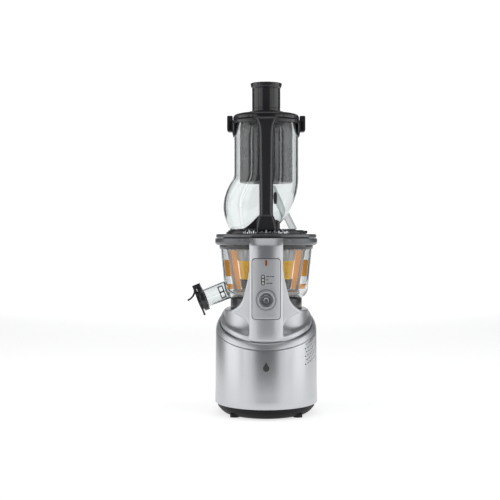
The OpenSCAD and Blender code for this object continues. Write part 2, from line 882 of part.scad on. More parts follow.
module spout_collar() {
    color(dark) at_spout() difference() {
        union() {
            cylinder(r = spout_collar_r, h = spout_collar_l);
            for (y = [-1, 1])
                translate([tap_pin_x - 3, y * (tap_half_w + face_gap + lug_t / 2) - lug_t / 2, 0]) {
                    cube([8, lug_t, spout_collar_l - 1]);
                    translate([0, 0, -4.5]) cube([5.8, lug_t, 5]);
                }
        }
        translate([0, 0, -1]) cylinder(r = spout_r, h = spout_collar_l + 2);
        translate([tap_pin_x, 0, tap_pin_z]) along_y(tap_pin_r + run_gap, -20, 20);
    }
}

module spout_tap() {
    color(dark) at_spout() {
        translate([0, 0, -tap_gap - tap_t]) cylinder(r = tap_r, h = tap_t);
        translate([tap_pin_x, 0, tap_pin_z]) along_y(tap_hub_r, -tap_half_w, tap_half_w);
        translate([tap_pin_x, 0, tap_pin_z])
            along_y(tap_pin_r, -tap_half_w - face_gap - lug_t, tap_half_w + face_gap + lug_t);
        translate([tap_pin_x, -tap_half_w, -tap_gap - tap_t]) cube([8, 2 * tap_half_w, tap_t]);
        translate([tap_r - 2, -tap_half_w, -tap_gap - tap_t]) cube([9.5, 2 * tap_half_w, tap_t - 0.6]);
        translate([tap_pin_x - 2, 0, -tap_gap - tap_t - tap_tail_r + 3]) rotate([90, 0, 0])
            rotate_extrude(angle = 80) translate([tap_tail_r - 2.4, -tap_half_w])
                square([2.4, 2 * tap_half_w]);
    }
}

module tap_seal() {
    color(amber) at_spout() translate([0, 0, -tap_gap]) cylinder(r = spout_r - 0.4, h = tap_gap - face_gap);
}

module pulp_gate() {
    color(dark) {
        translate([-pulp_half_w, gate_y, pulp_z]) cube([2 * pulp_half_w, gate_t, pulp_h + 4.4]);
        translate([-4.2, gate_pin_y - 1.5, gate_pin_z - 1.8]) cube([8.4, gate_y + 1 - gate_pin_y + 1.5, 3.4]);
        translate([0, gate_pin_y, gate_pin_z]) rotate([0, 90, 0])
            cylinder(r = gate_pin_r, h = 2 * pulp_half_w - 0.4, center = true);
    }
}

module pulp_plug() {
    plug_half_w = pulp_half_w - pulp_wall - 0.7;
    color(amber) translate([-plug_half_w, gate_y - 1.8, pulp_z + pulp_wall + 0.9])
        cube([2 * plug_half_w, 1.8, pulp_h - 2 * pulp_wall - 2.5]);
}

// ---------- Juicing set ----------

module strainer_cone(r_extra, z0, z1) {
    translate([0, 0, z0]) cylinder(r1 = strainer_r(z0) + r_extra, r2 = strainer_r(z1) + r_extra, h = z1 - z0);
}

module strainer_frame() {
    gap_z = strainer_z + strainer_foot_h;
    gap_h = strainer_top_z - strainer_band_h - gap_z;
    rib_deg = 5;
    color(steel) difference() {
        union() {
            strainer_cone(0, strainer_z, strainer_top_z);
            translate([0, 0, strainer_top_z])
                cylinder(r = bowl_top_r - bowl_wall + brim_ledge - run_gap, h = brim_t);
        }
        strainer_cone(-strainer_wall, strainer_z + strainer_floor, strainer_top_z + brim_t + 1);
        translate([0, 0, strainer_z - 1]) cylinder(r = auger_shaft_r + 1, h = strainer_floor + 2);
        translate([0, duct_y, strainer_z - 1]) cylinder(r = duct_r - duct_wall, h = strainer_floor + 2);
        for (i = [0 : rib_count - 1])
            rotate(360 * i / rib_count + rib_deg / 2) translate([0, 0, gap_z])
                rotate_extrude(angle = 360 / rib_count - rib_deg)
                    translate([strainer_low_r / 2, 0]) square([strainer_top_r, gap_h]);
    }
}

module strainer_mesh() {
    z0 = strainer_z + strainer_floor + 0.2;
    z1 = strainer_top_z - 0.2;
    color(gold) difference() {
        strainer_cone(-strainer_wall, z0, z1);
        strainer_cone(-strainer_wall - mesh_t, z0 - 1, z1 + 1);
        for (i = [0 : slot_count - 1])
            rotate(360 * i / slot_count) translate([0, -slot_w / 2, z0 + strainer_foot_h])
                cube([strainer_top_r + 5, slot_w, z1 - strainer_band_h - z0 - strainer_foot_h]);
    }
}

module idler_pin() {
    color(steel) translate([0, idler_y, floor_z])
        cylinder(r = idler_pin_r - 0.01, h = gear_z + wiper_face - floor_z);
}

module idler_gear() {
    color("#d8d2c0") translate([0, idler_y, gear_z]) difference() {
        gear(wiper_module, idler_teeth, wiper_face - 0.6, -90 + 180 - 180 / idler_teeth);
        translate([0, 0, -1]) cylinder(r = idler_pin_r + run_gap, h = wiper_face + 2);
    }
}

module auger_gear() {
    color("#d8d2c0") difference() {
        translate([0, 0, gear_z]) gear(wiper_module, sun_teeth, wiper_face, -90);
        translate([0, 0, gear_z - 1]) cylinder(r = auger_shaft_r, h = wiper_face + 2);
    }
}

module wiper_gear() {
    color("#d8d2c0") difference() {
        translate([0, 0, gear_z - 0.6]) cylinder(r = ring_out_r, h = wiper_face);
        translate([0, 0, gear_z - 1])
            internal_teeth(wiper_module, ring_teeth, wiper_face + 2, -90 + 180 / ring_teeth);
    }
}

function arm_r(z) = arm_low_r + (arm_top_r - arm_low_r) * (z - gear_z) / (arm_top_z - gear_z);

module wiper_places() {
    for (i = [0 : wiper_arms - 1])
        rotate(180 + 360 * i / wiper_arms) children();
}

module wiper_frame() {
    color(steel) {
        ring(wiper_out_r, ring_out_r + 0.01, gear_z - 0.6, gear_z + wiper_face - 1);
        wiper_places() translate([0, arm_w / 2, 0]) rotate([90, 0, 0]) linear_extrude(arm_w) polygon([
            [arm_r(gear_z), gear_z], [arm_r(gear_z) + arm_t, gear_z],
            [arm_r(arm_top_z) + arm_t, arm_top_z], [arm_r(arm_top_z), arm_top_z]
        ]);
        ring(arm_top_r + arm_t + 1, arm_top_r - 1, arm_top_z, arm_top_z + 2);
    }
}

// Strip of a blade between two shares of the arm's height, inside or outside the arm
module blade(share0, share1, outside) {
    z0 = gear_z + wiper_face + (arm_top_z - gear_z - wiper_face) * share0;
    z1 = gear_z + wiper_face + (arm_top_z - gear_z - wiper_face) * share1;
    heights = [z0, (z0 + z1) / 2, z1];
    far = [for (z = heights) [outside ? bowl_in_r(z) - blade_gap : strainer_r(z) + blade_gap, z]];
    near = [for (i = [2 : -1 : 0]) [arm_r(heights[i]) + (outside ? arm_t : 0), heights[i]]];
    translate([0, blade_t / 2, 0]) rotate([90, 0, 0]) linear_extrude(blade_t) polygon(concat(far, near));
}

module wiper_blades() {
    color(amber) for (i = [0 : wiper_arms - 1])
        rotate(180 + 360 * i / wiper_arms) {
            blade(blade_cuts[0], blade_cuts[4], false);
            if (i % 2 == 0) {
                blade(blade_cuts[0], blade_cuts[1], true);
                blade(blade_cuts[2], blade_cuts[3], true);
            } else {
                blade(blade_cuts[0], blade_cuts[2], true);
                blade(blade_cuts[3], blade_cuts[4], true);
            }
        }
}

module auger() {
    body_top = auger_top_z - 6;
    flight_h = body_top - auger_z;
    low_r = strainer_r(auger_z) - strainer_wall - mesh_t - auger_gap;
    top_r = strainer_r(body_top) - strainer_wall - mesh_t - auger_gap;
    color(dark) difference() {
        union() {
            translate([0, 0, floor_z - 5]) cylinder(r = auger_shaft_r - 0.01, h = auger_z - floor_z + 5);
            translate([0, 0, auger_z]) cylinder(r1 = auger_core_low_r, r2 = auger_core_top_r, h = flight_h);
            translate([0, 0, body_top]) cylinder(r = auger_core_top_r, h = auger_top_z - body_top);
            translate([0, 0, auger_top_z]) cylinder(r = top_pin_r, h = lid_z - 1.2 - auger_top_z);
            translate([0, 0, auger_z + 0.5])
                linear_extrude(flight_h - 1, twist = -360 * flight_turns, scale = top_r / low_r,
                    slices = 48, $fn = 16)
                    for (a = [0, 180])
                        rotate(a) translate([2, -flight_t / 2]) square([low_r - 2.2, flight_t]);
        }
        translate([0, 0, floor_z - 6])
            cylinder(d = drive_hex + 2 * slide_gap, h = drive_up - neck_h + 8, $fn = 6);
    }
}

// ---------- Hopper ----------

module feed_hole(z0, z1) {
    translate([throat_x, 0, z0]) cylinder(r = feed_r, h = z1 - z0);
}

module lid_flange() {
    color(dark) difference() {
        union() {
            translate([0, 0, lid_z]) cylinder(r = lid_r, h = lid_h);
            ring(spigot_r, spigot_r - spigot_wall, lid_z - spigot_h, lid_z + 1);
            translate([0, 0, auger_top_z + 0.8]) cylinder(r = boss_r, h = lid_z + 1 - auger_top_z - 0.8);
        }
        feed_hole(lid_z - 10, plate_z + 1);
        ring(gasket_r + run_gap, gasket_r - gasket_w - run_gap, lid_z - 1, lid_z + 1.6 + run_gap);
        translate([0, 0, auger_top_z]) cylinder(r = top_pin_r + run_gap, h = lid_z - auger_top_z);
    }
}

module lid_gasket() {
    color(black) ring(gasket_r, gasket_r - gasket_w, collar_top_z + face_gap, lid_z + 1.6);
}

module hopper_plate() {
    color(dark) difference() {
        union() {
            translate([0, 0, plate_z]) cylinder(r = plate_r, h = plate_h);
            translate([plate_r - 10, -5, plate_z + 1]) cube([10 + tab_out, 10, plate_h - 1]);
        }
        feed_hole(plate_z - 1, hopper_z + 1);
        handle_screw_places() cylinder(r = screw_r, h = 30, center = true);
    }
}

module handle_screw_places() {
    for (x = [-1, 1])
        translate([x * 6, foot_screw_y, plate_z + plate_h / 2]) children();
}

// Left and right walls and depth of the hopper, by the share of the belly's height
function belly_left(t) =
    t == 0 ? throat_left : chute_r + belly_out * pow(sin(180 * min(1, (t + 0.1) / 1.1)), 0.8);
function belly_right(t) = throat_right + (chute_r - throat_right) * sin(90 * pow(t, 0.8));
function belly_depth(t) = throat_r + (chute_r - throat_r) * sin(90 * t);

// Rings of points up the hopper, drawn in by a wall
function hopper_ring(t, z, wall) =
    let (left = belly_left(t), right = belly_right(t), depth = belly_depth(t))
    [for (i = [0 : shell_points - 1])
        let (a = 360 * i / shell_points)
        [(right - left) / 2 + ((right + left) / 2 - wall) * cos(a), (depth - wall) * sin(a), z]];
function hopper_side(wall) = [
    for (i = [0 : belly_steps]) each hopper_ring(i / belly_steps, hopper_z + belly_h * i / belly_steps, wall),
    each hopper_ring(1, chute_top_z, wall)
];

module hopper_shell() {
    rings = belly_steps + 2;
    n = shell_points;
    count = rings * n;
    points = concat(hopper_side(0), hopper_side(chute_wall));
    faces = concat(
        [for (k = [0 : rings - 2], i = [0 : n - 1]) each
            let (a = k * n + i, b = k * n + (i + 1) % n)
            [[a, a + n, b + n], [a, b + n, b],
            [count + a, count + b + n, count + a + n], [count + a, count + b, count + b + n]]],
        [for (i = [0 : n - 1]) each
            let (j = (i + 1) % n, top = (rings - 1) * n)
            [[i, j, count + j], [i, count + j, count + i],
            [top + i, count + top + j, top + j], [top + i, count + top + i, count + top + j]]]
    );
    color(clear) polyhedron(points, faces, convexity = 6);
}

module hopper_brace() {
    color(clear) hull() {
        translate([43.5 - brace_w, 30, hopper_z]) cube([brace_w, brace_t, 1]);
        translate([2, chute_r + 1, hopper_z + 60]) cube([brace_w, brace_t, 1]);
    }
}

module chute_collar() {
    slot_h = ear_h - 2 * ear_wall;
    color(dark) {
        difference() {
            union() {
                cylinder_between(chute_r + collar_t, chute_top_z - chute_collar_h, chute_top_z - 0.4);
                for (a = [0, 180])
                    rotate(a) translate([chute_r - 2, -ear_half_d, ear_top_z - ear_h])
                        cube([ear_x + ear_w - chute_r + 2, 2 * ear_half_d, ear_h]);
                translate([-handle_half_w, handle_back - handle_d, chute_top_z - chute_collar_h])
                    cube([2 * handle_half_w, handle_d + handle_gap + 3, chute_collar_h - 0.4]);
            }
            translate([0, 0, chute_top_z - 60]) cylinder(r = chute_r, h = 120);
            translate([0, 0, chute_top_z - 0.4]) cylinder(r = rim_r + slide_gap, h = 60);
            for (a = [0, 180])
                rotate(a) translate([ear_x, -ear_half_d - 1, ear_top_z - ear_h + ear_wall])
                    cube([ear_w - ear_wall, 2 * ear_half_d + 2, slot_h]);
        }
    }
}

module cylinder_between(r, z0, z1) {
    translate([0, 0, z0]) cylinder(r = r, h = z1 - z0);
}

module handle_bar() {
    bar_top = chute_top_z - chute_collar_h;
    color(dark) {
        difference() {
            union() {
                translate([0, 0, hopper_z]) linear_extrude(bar_top - hopper_z) polygon([
                    [-handle_half_w, handle_back], [-handle_half_w, handle_back - 3],
                    [-handle_face, handle_back - handle_d], [handle_face, handle_back - handle_d],
                    [handle_half_w, handle_back - 3], [handle_half_w, handle_back]
                ]);
                translate([-foot_half_w, handle_back - 2, hopper_z])
                    cube([2 * foot_half_w, foot_back - handle_back + 2, foot_rise / 3]);
            }
            handle_screw_places() cylinder(r = screw_r, h = 30, center = true);
        }
    }
}

module handle_screws() {
    color(steel) handle_screw_places() {
        translate([0, 0, -plate_h / 2 - 0.001]) cylinder(r = screw_r - run_gap, h = plate_h + foot_rise / 3);
    }
}

// ---------- Pushers ----------

module large_pusher() {
    body_z = rim_z - pusher_l;
    color(dark) {
        ring(pusher_r, pusher_r - pusher_wall, body_z, rim_z);
        ring(pusher_r - 0.5, small_pusher_r + slide_gap, body_z, body_z + pusher_wall);
        ring(small_pusher_r + slide_gap + pusher_wall, small_pusher_r + slide_gap, body_z, rim_z);
    }
}

module pusher_cover() {
    color(dark) rotate_extrude() polygon([
        [small_pusher_r + slide_gap, rim_z], [rim_r, rim_z], [rim_r, rim_z + 2.5],
        [rim_r - 0.6, rim_top_z - 0.6], [rim_r - 1.4, rim_top_z],
        [small_pusher_r + slide_gap + rim_ring_w, rim_top_z],
        [small_pusher_r + slide_gap + rim_ring_w, rim_top_z + rim_ring_h - 0.8],
        [small_pusher_r + slide_gap + rim_ring_w - 0.8, rim_top_z + rim_ring_h],
        [small_pusher_r + slide_gap, rim_top_z + rim_ring_h]
    ]);
}

module small_pusher() {
    low_z = small_top_z - cap_h - small_depth - small_pusher_up;
    color(dark) difference() {
        translate([0, 0, low_z]) cylinder(r = small_pusher_r, h = small_top_z - cap_h - low_z);
        translate([0, 0, low_z + small_wall])
            cylinder(r = small_pusher_r - small_wall, h = small_top_z - cap_h - low_z);
    }
}

module small_pusher_cap() {
    color(dark) translate([0, 0, small_top_z - cap_h]) {
        cylinder(r1 = small_pusher_r, r2 = small_pusher_r + cap_flare, h = 2);
        translate([0, 0, 2]) cylinder(r = small_pusher_r + cap_flare, h = cap_h - 2);
    }
}

rubber_feet();
foot_ring();
base_tray();
tray_screws();
brushed_band();
bevel_rim();
upper_shell();
control_fascia();
mode_lens();
light_window();
light_guides();
button_bezel();
start_button();
button_spring();
control_board();
power_board();
band_badge();
cord_inlet();
motor_can();
motor_rotor();
cooling_fan();
gear_case();
gear_cover();
gear_screws();
double_gear();
gear_pin();
output_gear();
drive_shaft();
shaft_bush();
shaft_seal();
bowl();
bowl_neck();
bowl_collar();
bowl_seal();
spout_collar();
spout_tap();
tap_seal();
pulp_gate();
pulp_plug();
strainer_frame();
strainer_mesh();
idler_pin();
idler_gear();
wiper_frame();
wiper_blades();
wiper_gear();
auger();
auger_gear();
lid_flange();
lid_gasket();
hopper_plate();
hopper_shell();
hopper_brace();
chute_collar();
handle_bar();
handle_screws();
large_pusher();
pusher_cover();
small_pusher();
small_pusher_cap();
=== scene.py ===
import math

import bmesh
import bpy
from mathutils import Matrix, Vector


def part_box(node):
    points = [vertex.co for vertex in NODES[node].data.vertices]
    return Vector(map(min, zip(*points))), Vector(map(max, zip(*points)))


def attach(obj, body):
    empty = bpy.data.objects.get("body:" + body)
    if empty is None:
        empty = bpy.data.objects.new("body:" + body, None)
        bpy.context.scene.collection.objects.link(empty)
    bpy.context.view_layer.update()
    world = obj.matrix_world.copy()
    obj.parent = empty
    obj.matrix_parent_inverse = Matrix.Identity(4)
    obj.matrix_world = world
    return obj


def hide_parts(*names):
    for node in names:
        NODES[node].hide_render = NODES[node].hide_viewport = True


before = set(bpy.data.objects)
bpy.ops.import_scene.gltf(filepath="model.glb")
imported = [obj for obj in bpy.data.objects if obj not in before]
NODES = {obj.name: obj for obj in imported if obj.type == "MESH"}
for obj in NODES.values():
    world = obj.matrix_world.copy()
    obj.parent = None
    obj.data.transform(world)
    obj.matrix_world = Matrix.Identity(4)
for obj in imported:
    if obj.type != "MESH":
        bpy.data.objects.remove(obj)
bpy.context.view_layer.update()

MM = 0.001
TAU = 2 * math.pi


# ---------- Sizes, in millimetres, read from the frame ----------

def low(node):
    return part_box(node)[0] / MM


def high(node):
    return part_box(node)[1] / MM


BASE_A = high("brushed_band").x
BASE_B = high("brushed_band").y
SKIRT_TOP = low("brushed_band").z
SEAT_Z = low("bowl_neck").z
FLOOR_Z = low("idler_pin").z
BOWL_TOP_Z = low("bowl_collar").z
COLLAR_TOP_Z = high("bowl_collar").z
COLLAR_R = high("bowl_collar").x
NECK_R = high("bowl_neck").x
LID_Z = COLLAR_TOP_Z + 0.6
LID_R = high("lid_flange").x
PLATE_Z = high("lid_flange").z
PLATE_R = high("hopper_plate").y
HOPPER_Z = low("hopper_shell").z
CHUTE_TOP_Z = high("hopper_shell").z
CHUTE_R = high("hopper_shell").x
COVER_Z = low("pusher_cover").z
COVER_R = high("pusher_cover").x
PUSHER_R = high("large_pusher").x
PUSHER_Z = low("large_pusher").z
SMALL_R = high("small_pusher").x
SMALL_Z = low("small_pusher").z
SMALL_TOP_Z = high("small_pusher_cap").z
CAP_R = high("small_pusher_cap").x
CAP_Z = low("small_pusher_cap").z
EAR_X = high("chute_collar").x
EAR_TOP_Z = high("chute_collar").z
TOWER_FRONT = low("upper_shell").y
TOWER_TOP_Z = high("upper_shell").z
FASCIA_LOW = low("control_fascia")
FASCIA_HIGH = high("control_fascia")

SEAM_SLOPE = math.radians(16)
SEAM_DROP = 25
SEAM_Z = SEAT_Z - SEAM_DROP
BAND_TAPER = 1.3
SEAT_R = 56.5
BOWL_FLOOR_R = 49
BOWL_LOW_R = 57
BOWL_TOP_R = 61.9
BOWL_ROUND_H = 18
BOWL_WALL = 2.6


# ---------- Mesh helpers ----------

def finish_piece(obj, body, material, replaced=(), sharp=35):
    """Shades a piece, gives it its material and fixes it to a body."""
    mesh = obj.data
    mesh.materials.clear()
    mesh.materials.append(material)
    mesh.shade_smooth()
    mesh.set_sharp_from_angle(angle=math.radians(sharp))
    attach(obj, body)
    if replaced:
        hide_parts(*replaced)
    return obj


def new_object(name, verts, faces):
    mesh = bpy.data.meshes.new(name)
    mesh.from_pydata([Vector(v) * MM for v in verts], [], faces)
    mesh.validate()
    obj = bpy.data.objects.new(name, mesh)
    bpy.context.scene.collection.objects.link(obj)
    return obj


def tidy_normals(obj):
    bm = bmesh.new()
    bm.from_mesh(obj.data)
    bmesh.ops.remove_doubles(bm, verts=bm.verts, dist=1e-7)
    bmesh.ops.recalc_face_normals(bm, faces=bm.faces)
    bm.to_mesh(obj.data)
    bm.free()
    return obj


def soften(points, radius, steps=3, closed=True):
    """Rounds the corners of a flat outline. radius is one size, or one for each point."""
    out = []
    count = len(points)
    for i, point in enumerate(points):
        r = radius[i] if isinstance(radius, (list, tuple)) else radius
        if r <= 0 or (not closed and i in (0, count - 1)):
            out.append(tuple(point))
            continue
        p = Vector(point)
        back = Vector(points[i - 1]) - p
        on = Vector(points[(i + 1) % count]) - p
        if back.length < 1e-6 or on.length < 1e-6:
            out.append(tuple(point))
            continue
        reach = min(r, back.length * 0.48, on.length * 0.48)
        a, c = p + back.normalized() * reach, p + on.normalized() * reach
        for k in range(steps + 1):
            t = k / steps
            q = a * (1 - t) ** 2 + p * 2 * t * (1 - t) + c * t ** 2
            out.append((q.x, q.y))
    return out


def loft(name, rings, closed_side=True, caps=True):
    """Skins rings of points, each a list of (x, y, z) of one length."""
    n = len(rings[0])
    verts = [p for ring in rings for p in ring]
    faces = []
    last = n if closed_side else n - 1
    for k in range(len(rings) - 1):
        for i in range(last):
            a, b = k * n + i, k * n + (i + 1) % n
            faces.append((a, b, b + n, a + n))
    if caps:
        faces.append(tuple(reversed(range(n))))
        faces.append(tuple(range((len(rings) - 1) * n, len(rings) * n)))
    return tidy_normals(new_object(name, verts, faces))


def loop_loft(name, rings):
    """Skins rings round and back to the first, as for a tube wall with an inside and an outside."""
    n = len(rings[0])
    verts = [p for ring in rings for p in ring]
    faces = []
    for k in range(len(rings)):
        k2 = (k + 1) % len(rings)
        for i in range(n):
            j = (i + 1) % n
            faces.append((k * n + i, k * n + j, k2 * n + j, k2 * n + i))
    return tidy_normals(new_object(name, verts, faces))


ON_AXIS = 1e-4


def lathe(name, outline, segments=128, centre=(0, 0), turn=None):
    """Spins an outline of (radius, height) round the vertical through centre. turn is a matrix applied after."""
    def ring_points(r, z):
        return [(centre[0] + r * math.cos(TAU * i / segments), centre[1] + r * math.sin(TAU * i / segments), z)
                for i in range(segments)]
    verts, faces = [], []
    if min(r for r, _ in outline) > ON_AXIS:
        obj = loop_loft(name, [ring_points(r, z) for r, z in outline])
    else:
        start = next(i for i, (r, _) in enumerate(outline) if r < ON_AXIS and outline[i - 1][0] < ON_AXIS)
        line = outline[start:] + outline[:start]
        rows = []
        for r, z in line:
            if r < ON_AXIS:
                rows.append([len(verts)])
                verts.append((centre[0], centre[1], z))
            else:
                rows.append(list(range(len(verts), len(verts) + segments)))
                verts += ring_points(r, z)
        for a, b in zip(rows, rows[1:]):
            for i in range(segments):
                j = (i + 1) % segments
                if len(a) == 1 and len(b) == 1:
                    continue
                if len(a) == 1:
                    faces.append((a[0], b[i], b[j]))
                elif len(b) == 1:
                    faces.append((a[i], a[j], b[0]))
                else:
                    faces.append((a[i], a[j], b[j], b[i]))
        obj = tidy_normals(new_object(name, verts, faces))
    if turn is not None:
        obj.data.transform(turn)
    return obj


def slab(name, outline, depth0, depth1, across="y", edge=0.6, segments=3):
    """A plate cut from a flat outline, with rounded edges. across is the axis it is thick along."""
    def place(p, d):
        return {"y": (p[0], d, p[1]), "x": (d, p[0], p[1]), "z": (p[0], p[1], d)}[across]
    n = len(outline)
    verts = [place(p, depth0) for p in outline] + [place(p, depth1) for p in outline]
    faces = [tuple(range(n)), tuple(range(2 * n - 1, n - 1, -1))]
    faces += [(i, i + n, (i + 1) % n + n, (i + 1) % n) for i in range(n)]
    obj = tidy_normals(new_object(name, verts, faces))
    if edge > 0:
        round_edges(obj, edge, segments)
    return obj


def round_edges(obj, width, segments=3, angle=30):
    bevel = obj.modifiers.new("edges", "BEVEL")
    bevel.width = width * MM
    bevel.segments = segments
    bevel.limit_method = "ANGLE"
    bevel.angle_limit = math.radians(angle)
    bevel.harden_normals = False
    return apply_modifiers(obj)


def apply_modifiers(obj):
    depsgraph = bpy.context.evaluated_depsgraph_get()
    mesh = bpy.data.meshes.new_from_object(obj.evaluated_get(depsgraph))
    obj.modifiers.clear()
    old = obj.data
    obj.data = mesh
    bpy.data.meshes.remove(old)
    return obj


def join(name, objects):
    """Puts several meshes in one object."""
    bm = bmesh.new()
    for obj in objects:
        bm.from_mesh(obj.data)
        bpy.data.objects.remove(obj)
    mesh = bpy.data.meshes.new(name)
    bm.to_mesh(mesh)
    bm.free()
    joined = bpy.data.objects.new(name, mesh)
    bpy.context.scene.collection.objects.link(joined)
    return joined


def cut(obj, tool, operation="DIFFERENCE"):
    """Takes tool out of obj, or adds it, and removes the tool."""
    boolean = obj.modifiers.new("cut", "BOOLEAN")
    boolean.operation = operation
    boolean.solver = "EXACT"
    boolean.object = tool
    apply_modifiers(obj)
    bpy.data.objects.remove(tool)
    return obj


def remesh(obj, voxel, smooth_steps=4):
    """Melts joined solids into one skin and softens where they meet."""
    modifier = obj.modifiers.new("skin", "REMESH")
    modifier.mode = "VOXEL"
    modifier.voxel_size = voxel * MM
    modifier.adaptivity = 0
    if smooth_steps:
        soft = obj.modifiers.new("soft", "SMOOTH")
        soft.factor = 0.5
        soft.iterations = smooth_steps
    return apply_modifiers(obj)


def melt(obj, weight, rounds):
    """Softens a skin by a weight from 0 to 1, which is given each point in millimetres."""
    group = obj.vertex_groups.new(name="melt")
    for v in obj.data.vertices:
        share = weight(v.co / MM)
        if share > 0:
            group.add([v.index], min(1, share), "REPLACE")
    soft = obj.modifiers.new("melt", "SMOOTH")
    soft.factor = 0.6
    soft.iterations = rounds
    soft.vertex_group = "melt"
    return apply_modifiers(obj)


def rounded_rect(half_w, half_h, radius, centre=(0, 0), steps=6):
    points = [(-half_w, -half_h), (half_w, -half_h), (half_w, half_h), (-half_w, half_h)]
    return [(x + centre[0], z + centre[1]) for x, z in soften(points, radius, steps)]


def smooth_step(t):
    t = min(1, max(0, t))
    return t * t * (3 - 2 * t)


def mix(a, b, t):
    return a + (b - a) * t


# ---------- Materials ----------

COAT_ROUGHNESS = 0.08
CLOUD_SCALE = 30
BUMP_DEPTH = 0.0002


def material(name, color, roughness, metallic=0.0, grain=0.0, grain_scale=900, spread=0.04,
             transmission=0.0, ior=1.49, coat=0.0, brushed=None, streak=0.05, specular=0.5,
             absorb=None, glow=0.0):
    """A surface with its colour and roughness broken up by noise, and a fine bump."""
    mat = bpy.data.materials.new(name)
    mat.use_nodes = True
    nodes, links = mat.node_tree.nodes, mat.node_tree.links
    shader = nodes["Principled BSDF"]
    shader.inputs["Metallic"].default_value = metallic
    shader.inputs["IOR"].default_value = ior
    shader.inputs["Transmission Weight"].default_value = transmission
    shader.inputs["Coat Weight"].default_value = coat
    shader.inputs["Coat Roughness"].default_value = COAT_ROUGHNESS
    shader.inputs["Specular IOR Level"].default_value = specular
    # glow gives the surface an emission in its own colour. Above 0 this is painted light, because the part is no
    # lamp.
    shader.inputs["Emission Color"].default_value = (*color, 1)
    shader.inputs["Emission Strength"].default_value = glow
    coords = nodes.new("ShaderNodeTexCoord")
    mapping = nodes.new("ShaderNodeMapping")
    links.new(coords.outputs["Object"], mapping.inputs["Vector"])
    if brushed:
        mapping.inputs["Scale"].default_value = brushed
    noise = nodes.new("ShaderNodeTexNoise")
    noise.inputs["Scale"].default_value = grain_scale
    noise.inputs["Detail"].default_value = 4
    links.new(mapping.outputs["Vector"], noise.inputs["Vector"])
    cloud = nodes.new("ShaderNodeTexNoise")
    cloud.inputs["Scale"].default_value = CLOUD_SCALE
    cloud.inputs["Detail"].default_value = 3
    links.new(coords.outputs["Object"], cloud.inputs["Vector"])

    tint = nodes.new("ShaderNodeMix")
    tint.data_type = "RGBA"
    tint.inputs["A"].default_value = tuple(c * (1 - spread) for c in color) + (1,)
    tint.inputs["B"].default_value = tuple(min(1, c * (1 + spread)) for c in color) + (1,)
    pattern = (noise if brushed else cloud).outputs["Fac"]
    links.new(pattern, tint.inputs["Factor"])
    links.new(tint.outputs["Result"], shader.inputs["Base Color"])

    if transmission > 0:
        shader.inputs["Roughness"].default_value = roughness
    else:
        rough = nodes.new("ShaderNodeMapRange")
        rough.inputs["From Min"].default_value = 0.3
        rough.inputs["From Max"].default_value = 0.7
        rough.inputs["To Min"].default_value = max(0.0, roughness - streak)
        rough.inputs["To Max"].default_value = roughness + streak
        links.new(pattern, rough.inputs["Value"])
        links.new(rough.outputs["Result"], shader.inputs["Roughness"])

    if grain > 0:
        bump = nodes.new("ShaderNodeBump")
        bump.inputs["Strength"].default_value = grain
        bump.inputs["Distance"].default_value = BUMP_DEPTH
        links.new(noise.outputs["Fac"], bump.inputs["Height"])
        links.new(bump.outputs["Normal"], shader.inputs["Normal"])
    if absorb:
        volume = nodes.new("ShaderNodeVolumeAbsorption")
        volume.inputs["Color"].default_value = (*absorb[:3], 1)
        volume.inputs["Density"].default_value = absorb[3]
        links.new(volume.outputs["Volume"], nodes["Material Output"].inputs["Volume"])
    mat.diffuse_color = (*color, 1)
    return mat


SILVER = material("satin_silver", (0.58, 0.59, 0.61), 0.38, metallic=0.85, grain=0.05, grain_scale=1500, spread=0.02)
BRUSHED = material("brushed_silver", (0.58, 0.59, 0.61), 0.34, metallic=0.97, grain=0.08, grain_scale=60,
                   brushed=(1, 1, 60), spread=0.04, streak=0.05)
TRIM = material("satin_trim", (0.60, 0.61, 0.63), 0.36, metallic=0.8, grain=0.04, grain_scale=1500, spread=0.02)
FASCIA = material("fascia_silver", (0.54, 0.55, 0.57), 0.48, metallic=0.45, grain=0.04, grain_scale=1500, spread=0.02)
SPUN = material("spun_metal", (0.34, 0.35, 0.37), 0.28, metallic=1.0, grain=0.12, grain_scale=120, spread=0.08)
BRIGHT = material("bright_trim", (0.62, 0.63, 0.65), 0.18, metallic=1.0, grain=0.02, spread=0.02)
DARK = material("charcoal_plastic", (0.033, 0.033, 0.036), 0.30, grain=0.03, grain_scale=1600, spread=0.10, coat=0.15)
DARK_GLOSS = material("charcoal_gloss", (0.030, 0.030, 0.033), 0.22, grain=0.03, grain_scale=1200, spread=0.08,
                      coat=0.2)
BLACK = material("black_plastic", (0.010, 0.010, 0.011), 0.55, grain=0.12, grain_scale=1400, spread=0.15,
                 specular=0.2)
RUBBER = material("black_rubber", (0.010, 0.010, 0.010), 0.75, grain=0.25, grain_scale=900, spread=0.2)
SMOKED = material("smoked_grey", (0.125, 0.13, 0.137), 0.30, metallic=0.35, grain=0.05, grain_scale=1200, spread=0.06,
                  coat=0.25)
SMOKED_DARK = material("dark_grey_plastic", (0.060, 0.058, 0.060), 0.35, grain=0.05, spread=0.08, coat=0.1)
CLEAR = material("clear_plastic", (0.97, 0.985, 0.985), 0.01, transmission=1.0, ior=1.49, spread=0.01, specular=0.12,
                 absorb=(0.36, 0.42, 0.43, 50))
CLEAR_RIB = material("clear_rib", (0.95, 0.97, 0.97), 0.03, transmission=1.0, ior=1.49, spread=0.01, specular=0.4,
                     absorb=(0.30, 0.34, 0.34, 420))
GREY = material("warm_grey_plastic", (0.62, 0.53, 0.48), 0.45, grain=0.08, spread=0.05)
PALE = material("pale_grey_plastic", (0.56, 0.56, 0.56), 0.35, grain=0.08, spread=0.05, metallic=0.3)
# Painted light: the amber silicone glows faintly (glow 0.32) so that it looks lit inside the glass bowl. It is no
# lamp.
GLOWING_AMBER = material("amber_silicone", (0.98, 0.40, 0.03), 0.55, grain=0.10, spread=0.06, specular=0.3, glow=0.32)
